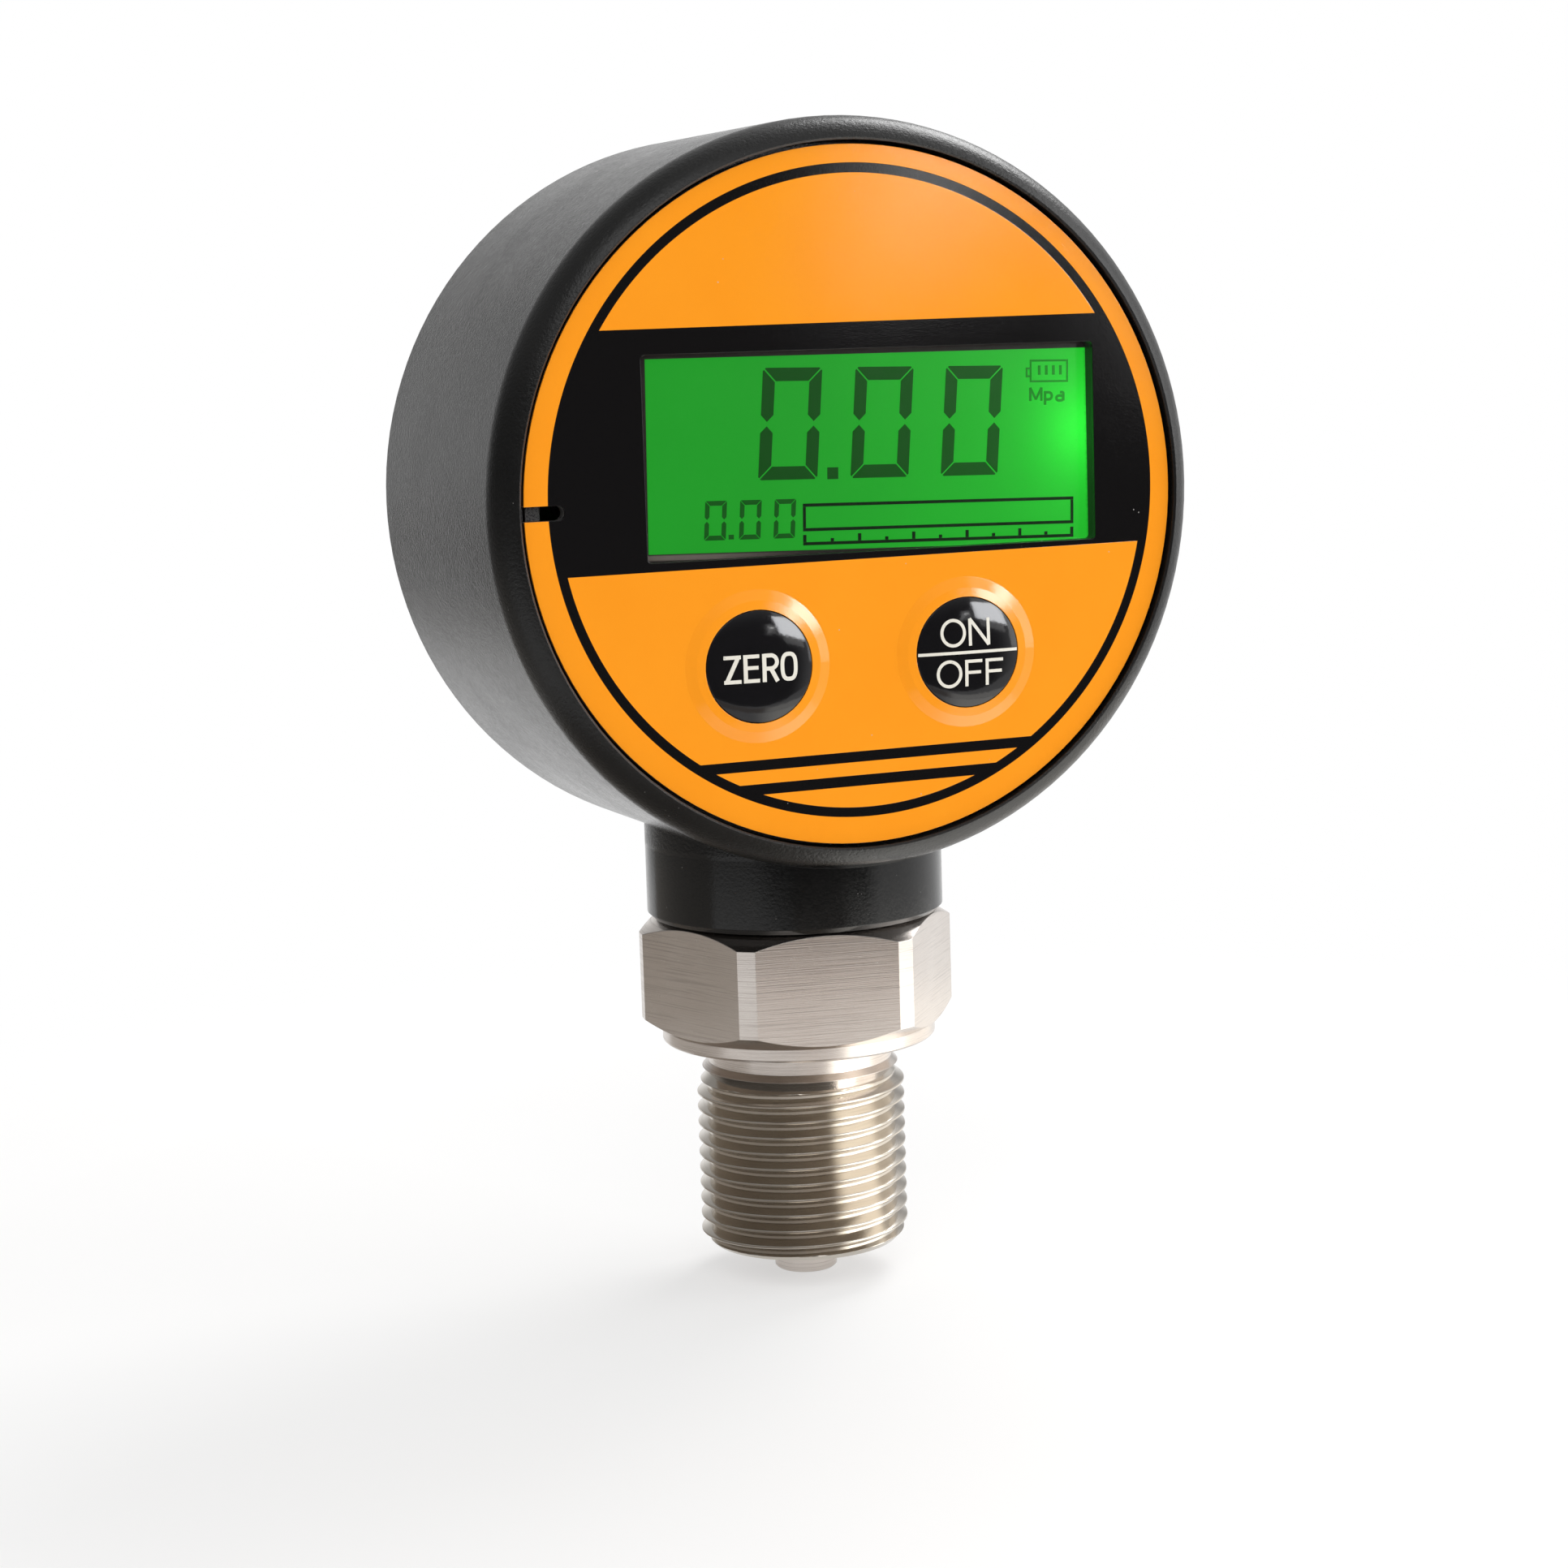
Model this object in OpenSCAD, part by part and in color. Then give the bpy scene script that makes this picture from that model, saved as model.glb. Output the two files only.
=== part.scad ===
// Digital pressure gauge: round case on a hexagon fitting with a male port thread.
// The origin is on the stem axis, at the shoulder that seals against the port.
// +Z runs up the stem, and the dial looks towards -Y.

/* [Case] */
// Outside diameter at the rim
case_d = 67; // [64:0.1:74]
// Draft of the side wall: growth of its radius from the rim to the back edge
case_draft = 0.4; // [0:0.05:0.8]
// Stem axis to the front of the rim
case_front = 19.45; // [19:0.05:24]
// Stem axis to the back face
case_back = 17.4; // [16.5:0.1:24]
// Width of the rim, from the side wall to the bore that takes the front
rim_w = 2.3; // [1.5:0.1:2.6]
// Radius of the rim's rolled edge
rim_round = 3.6; // [2.6:0.1:4.5]
// Width of the ledge behind the front
ledge_w = 0.7; // [0.4:0.1:0.9]
// Thickness of the back wall
back_wall = 2.4; // [1.5:0.1:3]
// Radius of the back edge
back_round = 0.6; // [0.3:0.1:1.2]

/* [Neck] */
// Length of the neck, from the hexagon to the bottom of the rim
neck_len = 6.35; // [5.5:0.05:12]
// Wall of the neck
neck_wall = 2.6; // [1.8:0.1:4]
// Bevel round the neck's lower end
neck_bevel = 0.5; // [0.2:0.1:1]
// Height of the nut's seat above the bottom of the case's inside
seat_rise = 0.9; // [0.5:0.1:2]

/* [Port] */
// Outside diameter of the thread
thread_d = 20; // [16:0.1:21]
// Shoulder to the end of the thread
port_len = 20; // [16:0.5:24]
// Bevel at the thread's end
thread_bevel = 1; // [0.5:0.1:1.5]
// Diameter of the relief behind the thread
relief_d = 17.7; // [14:0.1:18]
// Length of the relief, up to where the thread starts to rise
relief_len = 2.2; // [1.5:0.1:3]
// Diameter of the centring nose
nose_d = 6; // [5:0.1:8]
// Length of the centring nose
nose_len = 3; // [2:0.1:4]
// Diameter of the pressure passage
passage_d = 3; // [1.5:0.1:4]

/* [Hexagon] */
// Size across flats
hex_af = 27; // [26:0.1:29]
// Diameter of the round blank that the flats are milled from
blank_d = 30.2; // [29.5:0.1:31]
// Height of the hexagon's top above the shoulder
hex_top = 12.15; // [11:0.05:14]
// Angle of the bevels at both ends of the hexagon
bevel_angle = 33.5; // [25:0.5:40]
// Turn of the hexagon away from the dial's direction
hex_turn = -9; // [-30:1:30]
// Diameter of the sealing collar
collar_d = 26.2; // [25.5:0.1:27]
// Height of the sealing collar
collar_t = 1.25; // [0.8:0.05:2]

/* [Spigot] */
// Wall of the spigot that carries the case, round the sensor capsule
spigot_wall = 1.95; // [1.6:0.05:2.5]
// Height of the spigot above the ring nut
spigot_over = 0.55; // [0.3:0.05:1.5]
// Width of the ring nut that holds the case down
nut_w = 1.8; // [1.2:0.1:2.2]
// Height of the ring nut
nut_h = 3.2; // [2.5:0.1:3.5]
// Section of the seal between spigot and neck
neck_seal_t = 1.5; // [1:0.1:1.8]

/* [Pressure sensor] */
// Diameter of the sensor capsule
capsule_d = 19; // [17:0.1:19.4]
// Height of the sensor capsule
capsule_h = 11; // [9:0.1:11.5]
// Floor of the capsule's seat above the shoulder
capsule_floor = 9.5; // [8.5:0.1:10.5]
// Section of the capsule's seal
capsule_seal_t = 1.6; // [1.2:0.1:2]
// Height of the ring that clamps the capsule
clamp_h = 2.8; // [2:0.1:3.2]
// Opening of the clamp ring
clamp_bore_d = 12; // [11:0.1:13]

/* [Front] */
// Thickness of the front plate
plate_t = 1.2; // [0.8:0.05:1.8]
// Gap round the front plate
plate_gap = 0.3; // [0.3:0.05:0.6]
// Printed film below the front of the rim
film_recess = 0.6; // [0.3:0.05:1.2]
// Thickness of the printed film
film_t = 0.25; // [0.15:0.05:0.4]
// Margin of bare plate round the film
film_margin = 0.05; // [0.05:0.05:1]
// Depth of the skirt behind the plate
skirt_len = 5.9; // [3:0.1:7]
// Thickness of the skirt
skirt_t = 1.3; // [1:0.1:1.6]
// Width of the slot for prying the front off
pry_w = 1.3; // [1:0.1:2]
// Length of the pry slot from the plate's edge
pry_len = 3.7; // [2.5:0.1:4.5]

/* [Display] */
// Width of the window
window_w = 43.2; // [36:0.1:43.6]
// Height of the window
window_h = 17.9; // [14:0.1:18.2]
// Window centre to the right of the dial's centre
window_x = 1.7; // [0:0.1:2]
// Window centre above the dial's centre
window_y = 4.2; // [4.1:0.1:5]
// Radius of the window's corners
window_round = 0.4; // [0.2:0.1:1]
// Border of display glass hidden round the window
glass_border = 1.5; // [1:0.1:1.6]
// Thickness of the display glass
glass_t = 2.8; // [2:0.1:3]
// Thickness of the light guide
guide_t = 2.5; // [2:0.1:2.8]
// Wall of the display frame
frame_t = 0.9; // [0.7:0.1:1.1]

/* [Keys] */
// Diameter of a key
key_d = 9.9; // [8:0.1:10.4]
// Half the spacing of the keys
key_x = 10.05; // [9:0.05:11]
// Keys below the dial's centre
key_y = 14.3; // [14.2:0.1:15]
// Thickness of the flange that keeps a key behind the plate
flange_t = 0.6; // [0.4:0.1:0.9]
// Crown of a key's top
key_crown = 0.2; // [0.1:0.05:0.4]
// Outside diameter of the pressed ring round a key
ring_d = 13.6; // [12:0.1:14.4]
// Height of the pressed ring above the film
ring_h = 0.35; // [0.1:0.05:0.5]
// Running gap round a key
key_gap = 0.08; // [0.05:0.01:0.1]
// Side of a switch's square body
switch_w = 6; // [5:0.1:6.6]
// Height of a switch's body
switch_h = 3.5; // [3:0.1:3.6]
// Diameter of a switch's plunger
plunger_d = 3.4; // [3:0.1:4]
// Travel of a key
key_travel = 0.4; // [0.2:0.05:0.6]

/* [Circuit board] */
// Thickness of the board
board_t = 1.6; // [1:0.1:1.8]
// Board's front face behind the front plate
board_drop = 6; // [5.9:0.1:6.6]
// Height of the board's flat lower edge above the spigot
board_clear = 1.4; // [1:0.1:3]
// Diameter of the board's screws
screw_d = 2; // [1.8:0.1:2.4]
// Length of a screw under its head
screw_len = 5.5; // [5:0.1:6]

/* [Battery holder] */
// Diameter of a cell
cell_d = 10.5; // [10:0.1:10.6]
// Length of a cell with its cap
cell_len = 44.5; // [40:0.1:44.8]
// Gap round a cell
cell_gap = 0.3; // [0.3:0.05:0.5]
// Wall of the holder
holder_wall = 1.2; // [0.9:0.1:1.3]
// Room for the spring contact at a cell's end
spring_room = 2.6; // [2:0.1:2.8]
// Thickness of the contacts' sheet
contact_t = 0.4; // [0.2:0.05:0.5]
// Holder's centre above the dial's centre
holder_y = 1; // [0.5:0.1:1.5]

/* [Sensor lead] */
// Plug's centre above the board's lower edge
plug_inset = 6.35; // [5.5:0.05:7]
// Spacing of the lead's wires
wire_pitch = 2; // [1.6:0.1:2.1]
// Diameter of a wire
wire_d = 1; // [0.6:0.1:1.2]
// Radius of the lead's bend
wire_bend = 1.6; // [1.2:0.1:2]
// Length of the plug
plug_len = 7; // [6.5:0.1:7.5]
// Depth of the socket
socket_len = 6; // [5.5:0.1:6.5]

/* [Hidden] */
$fn = 96;

// Overrun of every cut past the face that it opens
cut = 0.5;
// Small break on turned and moulded edges
edge_break = 0.2;
// Gap between parts that only lie next to each other
play = 0.05;
// Gap between bodies that move past each other
clear_gap = 0.3;
// Steps in a rolled edge's arc
arc_steps = 14;

case_r = case_d / 2;
case_back_r = case_r + case_draft;
case_h = hex_top + neck_len + case_r;
bore_r = case_r - rim_w;
cavity_r = bore_r - ledge_w;
lip_round = 0.2;
roll_x = case_r - rim_round;
lip_x = bore_r + lip_round;
roll_y = case_front - sqrt(rim_round * rim_round - (lip_x - roll_x) * (lip_x - roll_x));
roll_end = acos((lip_x - roll_x) / rim_round);

film_face = case_front - film_recess;
plate_face = film_face - film_t;
plate_back = plate_face - plate_t;
plate_r = bore_r - plate_gap;
film_r = plate_r - film_margin;
ledge_y = plate_back - clear_gap;
skirt_r = cavity_r - plate_gap;
skirt_in_r = skirt_r - skirt_t;
// Height of the skirt's cut over the neck
skirt_relief = 16.4;
// Snap bumps round the skirt
bump_count = 4;
bump_h = plate_gap - play;
bump_w = 6;
bump_len = 1.4;
bump_inset = 0.7;

hex_face_r = collar_d / 2;
bevel_h = (blank_d / 2 - hex_face_r) * tan(bevel_angle);
neck_seat = case_h - cavity_r + seat_rise;
spigot_top = neck_seat + nut_h + spigot_over;
spigot_r = capsule_d / 2 + play + spigot_wall;
nut_r = spigot_r + nut_w;
neck_r = spigot_r + play + neck_wall;
relief_r = relief_d / 2;
thread_r = thread_d / 2;
thread_rise = thread_r - relief_r;
thread_start = relief_len + thread_rise;
pocket_r = capsule_d / 2 + play;
capsule_r = capsule_d / 2;
chamber_h = 0.8;
chamber_margin = 2;
chamber_r = capsule_r - chamber_margin;
capsule_top = capsule_floor + capsule_h;
seal_place_share = 0.3;
capsule_seal_z = capsule_floor + capsule_h * seal_place_share;
neck_seal_rise = 3;
neck_seal_z = hex_top + neck_seal_rise;
// Share of the neck seal's section that is left when the case squeezes it
squeeze_share = 0.85;
capsule_groove_r = capsule_r - capsule_seal_t;
neck_groove_r = spigot_r - neck_seal_t * squeeze_share;
nut_slot_w = 2.2;
nut_web = 0.3;
pin_d = 0.5;
pin_len = 1.5;
wire_count = 4;

glass_face = plate_back - play;
glass_w = window_w + 2 * glass_border;
glass_h = window_h + 2 * glass_border;
frame_w = glass_w + 2 * (frame_t + play);
frame_h = glass_h + 2 * (frame_t + play);
board_face = plate_back - board_drop;
board_back = board_face - board_t;
board_r = skirt_in_r - clear_gap;
board_low = case_h - spigot_top - board_clear;
frame_r = skirt_r;
guide_back = board_face + play;
guide_front = min(guide_back + guide_t, glass_face - glass_t - play);
strip_h = 1.6;
strip_inset = 3;
lamp_w = 2;
lamp_h = 5;
lamp_y_share = 0.62;

key_face = film_face + ring_h;
key_hole_r = key_d / 2 + key_gap;
ring_w = ring_d / 2 - key_hole_r;
// Where the pressed ring's outline bends, across its width and up its height
ring_knee_shares = [0.45, 0.7];
key_lip = 0.7;
switch_face = board_face + switch_h;
stem_d = 3;
plunger_rise = 1.1;
plunger_top = switch_face + plunger_rise;
plunger_foot = 0.4;
plunger_well = key_travel + plunger_foot;
plunger_low = switch_face - plunger_foot;

chip_w = 7;
chip_t = 1.4;
crystal_w = 6;
crystal_h = 2.6;

boss_r = 2.2;
// Places of the four bosses, as shares of the board's radius
boss_shares = [[-0.415, 0.743], [0.415, 0.743], [-0.725, -0.553], [0.725, -0.553]];
boss_places = board_r * boss_shares;
boss_top_x = boss_places[1][0];
boss_top_y = boss_places[1][1];
boss_low_y = -boss_places[2][1];
screw_head_d = 3.8;
screw_head_h = 1.3;
slot_w = 0.5;
slot_share = 0.6;

cell_pitch = cell_d + 2 * cell_gap + holder_wall;
bay_w = cell_d + 2 * cell_gap;
bay_len = cell_len + spring_room + contact_t * 2 + cell_gap;
holder_w = bay_len + 2 * holder_wall;
holder_h = 2 * bay_w + 3 * holder_wall;
holder_top = board_back - clear_gap;
holder_floor = holder_top - holder_wall;
cell_axis = holder_floor - cell_gap - cell_d / 2;
// Share of a cell's diameter that the holder's walls reach past its axis
grip_share = 0.24;
holder_depth = holder_top - cell_axis + cell_d * grip_share;
finger_r = 6;
blade_share = 0.6;
blade_w = cell_d * blade_share;
cap_d = 3.8;
cap_h = 1.2;

plug_w = wire_pitch * wire_count;
plug_h = 3.2;
plug_y = board_low - plug_inset;
plug_web_share = 0.25;
socket_wall = 0.8;
socket_floor = 1.2;
socket_w = plug_w + 2 * clear_gap + 2 * socket_wall;
socket_h = plug_h + 2 * clear_gap + 2 * socket_wall;
socket_back = board_back - socket_len;
plug_back = wire_bend;
plug_z = case_h - plug_y;
contact_pin_w = 0.5;

// Moves from the dial's own frame, with x right, y up and z towards the viewer, to its place on the stem
module on_dial() { translate([0, 0, case_h]) rotate([90, 0, 0]) children(); }

// Places at which the lead's wires run
function wire_x(i) = (i - (wire_count - 1) / 2) * wire_pitch;

// Slab with square corners, centred in x and y and resting on z = low
module slab(w, h, low, top) { translate([-w / 2, -h / 2, low]) cube([w, h, top - low]); }

// Slab with rounded upright edges
module round_slab(w, h, low, top, r) {
  translate([0, 0, low]) linear_extrude(top - low) {
    square([w - 2 * r, h], center = true);
    square([w, h - 2 * r], center = true);
    for (x = [-1, 1], y = [-1, 1]) translate([x * (w / 2 - r), y * (h / 2 - r)]) circle(r, $fn = 24);
  }
}

// Ring of rectangular section
module ring(r_out, r_in, low, top) {
  translate([0, 0, low]) difference() {
    cylinder(r = r_out, h = top - low);
    translate([0, 0, -cut]) cylinder(r = r_in, h = top - low + 2 * cut);
  }
}

// Steel fitting: one turned profile from the nose to the spigot, joined to the milled hexagon
module fitting() {
  seat_low = neck_seal_z - neck_seal_t / 2;
  seat_high = neck_seal_z + neck_seal_t / 2;
  color("silver") difference() {
    union() {
      rotate_extrude() polygon([
        [0, -port_len - nose_len], [nose_d / 2 - edge_break, -port_len - nose_len],
        [nose_d / 2, -port_len - nose_len + edge_break], [nose_d / 2, -port_len],
        [thread_r - thread_bevel, -port_len], [thread_r, -port_len + thread_bevel],
        [thread_r, -thread_start], [relief_r, -relief_len], [relief_r, 0],
        [hex_face_r - edge_break, 0], [hex_face_r, edge_break], [hex_face_r, collar_t],
        [spigot_r, collar_t], [spigot_r, seat_low], [neck_groove_r, seat_low],
        [neck_groove_r, seat_high], [spigot_r, seat_high], [spigot_r, spigot_top - edge_break],
        [spigot_r - edge_break, spigot_top], [0, spigot_top]
      ]);
      intersection() {
        rotate([0, 0, hex_turn]) translate([0, 0, collar_t])
          cylinder(d = hex_af / cos(30), h = hex_top - collar_t, $fn = 6);
        rotate_extrude() polygon([
          [0, collar_t], [hex_face_r, collar_t], [blank_d / 2, collar_t + bevel_h],
          [blank_d / 2, hex_top - bevel_h], [hex_face_r, hex_top], [0, hex_top]
        ]);
      }
    }
    translate([0, 0, -port_len - nose_len - cut])
      cylinder(d = passage_d, h = port_len + nose_len + capsule_floor + cut);
    translate([0, 0, capsule_floor - chamber_h]) cylinder(r = chamber_r, h = chamber_h + cut);
    translate([0, 0, capsule_floor]) cylinder(r = pocket_r, h = spigot_top - capsule_floor + cut);
  }
}

// Oil-filled sensor capsule with a seal groove, a glass header and its pins
module sensor_capsule() {
  color("gainsboro") {
    difference() {
      rotate_extrude() polygon([
        [0, capsule_floor], [capsule_r, capsule_floor], [capsule_r, capsule_seal_z - capsule_seal_t / 2],
        [capsule_groove_r, capsule_seal_z - capsule_seal_t / 2],
        [capsule_groove_r, capsule_seal_z + capsule_seal_t / 2],
        [capsule_r, capsule_seal_z + capsule_seal_t / 2], [capsule_r, capsule_top], [0, capsule_top]
      ]);
      translate([0, 0, capsule_floor - cut]) cylinder(r = chamber_r, h = cut + chamber_h / 2);
    }
    for (i = [0:wire_count - 1]) translate([wire_x(i), 0, capsule_top - edge_break])
      cylinder(d = pin_d, h = pin_len + edge_break, $fn = 16);
  }
}

// Seal of round section, seated at the outer wall of its groove
module seal(r_out, t, z) {
  translate([0, 0, z]) rotate_extrude() translate([r_out - t / 2, 0]) circle(d = t, $fn = 24);
}

module capsule_seal() { color("black") seal(pocket_r - play / 2, capsule_seal_t - play, capsule_seal_z); }

module neck_seal() { color("black") seal(spigot_r, neck_seal_t * squeeze_share - play, neck_seal_z); }

// Threaded ring over the capsule, with two key slots
module clamp_ring() {
  color("silver") difference() {
    ring(pocket_r - play, clamp_bore_d / 2, capsule_top, capsule_top + clamp_h);
    translate([0, 0, capsule_top + clamp_h / 2])
      slab(capsule_d + 2 * cut, clamp_h / 2, 0, clamp_h);
  }
}

// Moulded case: drafted drum with a rolled rim, a ledge for the front and the neck underneath
module case_shell() {
  color([0.1, 0.1, 0.1]) difference() {
    union() {
      on_dial() rotate_extrude($fn = 180) polygon(concat(
        [[0, -case_back], [case_back_r - back_round, -case_back]],
        [for (i = [1:arc_steps / 2]) let (a = i * 180 / arc_steps - 90)
          [case_back_r - back_round + back_round * cos(a), -case_back + back_round + back_round * sin(a)]],
        [for (i = [0:arc_steps]) let (a = i * roll_end / arc_steps)
          [roll_x + rim_round * cos(a), roll_y + rim_round * sin(a)]],
        [[bore_r, case_front - lip_round], [bore_r, ledge_y], [0, ledge_y]]
      ));
      rotate_extrude() polygon([
        [0, hex_top], [neck_r - neck_bevel, hex_top], [neck_r, hex_top + neck_bevel],
        [neck_r, case_h], [0, case_h]
      ]);
    }
    difference() {
      on_dial() translate([0, 0, back_wall - case_back])
        cylinder(r = cavity_r, h = ledge_y - back_wall + case_back + cut, $fn = 180);
      translate([0, 0, hex_top]) cylinder(r = neck_r, h = neck_seat - hex_top);
    }
    on_dial() translate([0, 0, ledge_y]) cylinder(r = bore_r, h = case_front - ledge_y, $fn = 180);
    translate([0, 0, hex_top - cut]) cylinder(r = spigot_r + play, h = neck_seat - hex_top + 2 * cut);
    translate([0, 0, neck_seat]) cylinder(r = nut_r + clear_gap, h = nut_h);
  }
}

// Slotted ring nut on the spigot, tight on the seat inside the case
module ring_nut() {
  color("goldenrod") difference() {
    ring(nut_r, spigot_r + play, neck_seat, neck_seat + nut_h);
    for (a = [0:45:135]) rotate([0, 0, a]) translate([0, 0, neck_seat + nut_h / 2])
      difference() {
        slab(2 * (nut_r + cut), nut_slot_w, 0, nut_h);
        slab(2 * (spigot_r + nut_web), nut_h, -cut, nut_h + cut);
      }
  }
}

// Four wires from the capsule's pins, up and forward into the plug
module sensor_lead() {
  rise = plug_z - wire_bend;
  base = capsule_top + pin_len;
  color("firebrick") for (i = [0:wire_count - 1]) translate([wire_x(i), 0, 0]) {
    translate([0, 0, base]) cylinder(d = wire_d, h = rise - base, $fn = 24);
    translate([0, -wire_bend, rise]) rotate([90, 0, 90])
      rotate_extrude(angle = 90, $fn = 48) translate([wire_bend, 0]) circle(d = wire_d, $fn = 24);
  }
}

// Plug with one hole a pin, entered from the front
module lead_plug() {
  color("ivory") on_dial() translate([0, -plug_y, 0]) difference() {
    slab(plug_w, plug_h, plug_back, plug_back + plug_len);
    for (i = [0:wire_count - 1]) translate([wire_x(i), 0, 0])
      slab(contact_pin_w + 2 * clear_gap, contact_pin_w + 2 * clear_gap,
        plug_back + plug_len * plug_web_share, plug_back + plug_len + cut);
  }
}

// Slot for a blade at nine o'clock, from the plate's edge to a round end
module pry_slot(low, top) {
  end_x = plate_r - pry_len + pry_w / 2;
  translate([-end_x, 0, low]) cylinder(d = pry_w, h = top - low, $fn = 32);
  translate([-plate_r - cut, -pry_w / 2, low]) cube([plate_r + cut - end_x, pry_w, top - low]);
}

// Slab of the window's outline, at the window's place
module window_slab(w, h, low, top) {
  translate([window_x, window_y, 0]) round_slab(w, h, low, top, window_round);
}

// Front plate: disc with window, key holes and pry slot, and a skirt with snap bumps and screw bosses
module front_plate() {
  skirt_end = plate_back - skirt_len;
  bump_low = skirt_end + bump_inset;
  color([0.12, 0.12, 0.12]) on_dial() difference() {
    union() {
      translate([0, 0, plate_back]) cylinder(r = plate_r, h = plate_t, $fn = 180);
      difference() {
        union() {
          ring(skirt_r, skirt_in_r, skirt_end, plate_back, $fn = 180);
          for (i = [0:bump_count - 1]) rotate([0, 0, 45 + i * 360 / bump_count]) intersection() {
            ring(skirt_r + bump_h, skirt_r - edge_break, bump_low, bump_low + bump_len);
            translate([skirt_r, 0, 0]) slab(bump_w, bump_w, skirt_end, plate_back);
          }
        }
        translate([0, -skirt_r, 0])
          slab(2 * (nut_r + 4 * clear_gap), skirt_relief, skirt_end - cut, plate_back - edge_break);
        translate([window_x, window_y, 0])
          slab(frame_w + 2 * clear_gap, frame_h + 2 * clear_gap, skirt_end - cut, plate_back + cut);
      }
      for (p = boss_places) translate([p[0], p[1], board_face])
        cylinder(r = boss_r, h = plate_back - board_face, $fn = 48);
    }
    window_slab(window_w, window_h, plate_back - cut, plate_face + cut);
    for (x = [-key_x, key_x]) translate([x, -key_y, plate_back - cut])
      cylinder(r = key_hole_r, h = plate_t + 2 * cut);
    for (p = boss_places) translate([p[0], p[1], board_face - cut])
      cylinder(d = screw_d, h = screw_len - board_t + cut, $fn = 32);
    pry_slot(plate_back - cut, plate_face + cut);
  }
}

// Printed film on the plate, cut out over the window, with a pressed ring round each key
module face_film() {
  color("darkorange") on_dial() difference() {
    union() {
      translate([0, 0, plate_face]) cylinder(r = film_r, h = film_t, $fn = 180);
      for (x = [-key_x, key_x]) translate([x, -key_y, film_face]) rotate_extrude() polygon([
        [key_hole_r - cut, -film_t / 2], [ring_d / 2, -film_t / 2], [ring_d / 2, 0],
        [key_hole_r + ring_w * ring_knee_shares[0], ring_h * ring_knee_shares[1]],
        [key_hole_r, ring_h], [key_hole_r - cut, ring_h]
      ]);
    }
    for (x = [-key_x, key_x]) translate([x, -key_y, plate_face - cut])
      cylinder(r = key_hole_r, h = film_t + ring_h + 2 * cut);
    window_slab(window_w, window_h, plate_face - cut, film_face + cut);
    pry_slot(plate_face - cut, film_face + cut);
  }
}

// Clear pane set in the window, flush with the film
module window_pane() {
  color([0.85, 0.9, 0.9, 0.4]) on_dial()
    window_slab(window_w - 2 * play, window_h - 2 * play, plate_back, film_face);
}

// Frame that holds the display glass and the light guide on the board
module display_frame() {
  color([0.18, 0.18, 0.18]) on_dial() difference() {
    intersection() {
      translate([window_x, window_y, 0])
        slab(frame_w, frame_h, board_face, glass_face);
      translate([0, 0, board_face]) cylinder(r = frame_r, h = glass_face - board_face);
    }
    translate([window_x, window_y, 0])
      slab(glass_w + 2 * play, glass_h + 2 * play, board_face - cut, glass_face + cut);
  }
}

module display_glass() {
  color([0.3, 0.8, 0.35]) on_dial() translate([window_x, window_y, 0])
    slab(glass_w, glass_h, glass_face - glass_t, glass_face);
}

// Light guide under the glass, short of the lamp at its right end and the contact strip below
module light_guide() {
  low = window_y - glass_h / 2 + strip_inset;
  left = window_x - glass_w / 2 + play;
  color([0.75, 0.95, 0.75]) on_dial() translate([left, low, guide_back])
    cube([glass_w - lamp_w - 3 * play, window_y + glass_h / 2 - low - play, guide_front - guide_back]);
}

module light_source() {
  left = window_x + glass_w / 2 - lamp_w - play;
  low = window_y - glass_h / 2 + glass_h * lamp_y_share - lamp_h / 2;
  color("white") on_dial() translate([left, low, board_face])
    cube([lamp_w, lamp_h, guide_front - board_face]);
}

// Rubber strip that joins the glass to the board
module contact_strip() {
  color("dimgray") on_dial() translate([window_x, window_y - glass_h / 2 + strip_inset / 2, 0])
    slab(glass_w - 2 * strip_inset, strip_h, board_face, glass_face - glass_t);
}

// Board: a disc with a flat over the ring nut and holes for its screws
module circuit_board() {
  color("darkgreen") on_dial() difference() {
    intersection() {
      translate([0, 0, board_back]) cylinder(r = board_r, h = board_t);
      translate([0, board_r - board_low, 0]) slab(2 * board_r, 2 * board_r, board_back, board_face);
    }
    for (p = boss_places) translate([p[0], p[1], board_back - cut])
      cylinder(d = screw_d + 2 * play, h = board_t + 2 * cut, $fn = 32);
  }
}

module board_screws() {
  color("silver") on_dial() for (p = boss_places) translate([p[0], p[1], board_back]) difference() {
    union() {
      translate([0, 0, -screw_head_h]) cylinder(d = screw_head_d, h = screw_head_h, $fn = 32);
      cylinder(d = screw_d, h = screw_len, $fn = 32);
    }
    for (a = [0, 90]) rotate([0, 0, a])
      slab(screw_head_d * slot_share, slot_w, -screw_head_h - cut, -screw_head_h / 2);
  }
}

// Controller and its companions on the back of the board
module board_chips() {
  color([0.15, 0.15, 0.17]) on_dial() {
    translate([0, boss_top_y - edge_break, 0]) slab(chip_w, chip_w, board_back - chip_t, board_back);
    for (x = [-1, 1]) translate([x * boss_top_x, -boss_low_y - chip_t, 0])
      slab(crystal_w, crystal_h, board_back - chip_t, board_back);
  }
}

// Socket on the back of the board, open to the back, with its pins
module plug_socket() {
  color("beige") on_dial() translate([0, -plug_y, 0]) {
    difference() {
      slab(socket_w, socket_h, socket_back, board_back);
      slab(plug_w + 2 * clear_gap, plug_h + 2 * clear_gap, socket_back - cut, board_back - socket_floor);
    }
    for (i = [0:wire_count - 1]) translate([wire_x(i), 0, 0])
      slab(contact_pin_w, contact_pin_w, socket_back + socket_wall, board_back - socket_floor + edge_break);
  }
}

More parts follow.
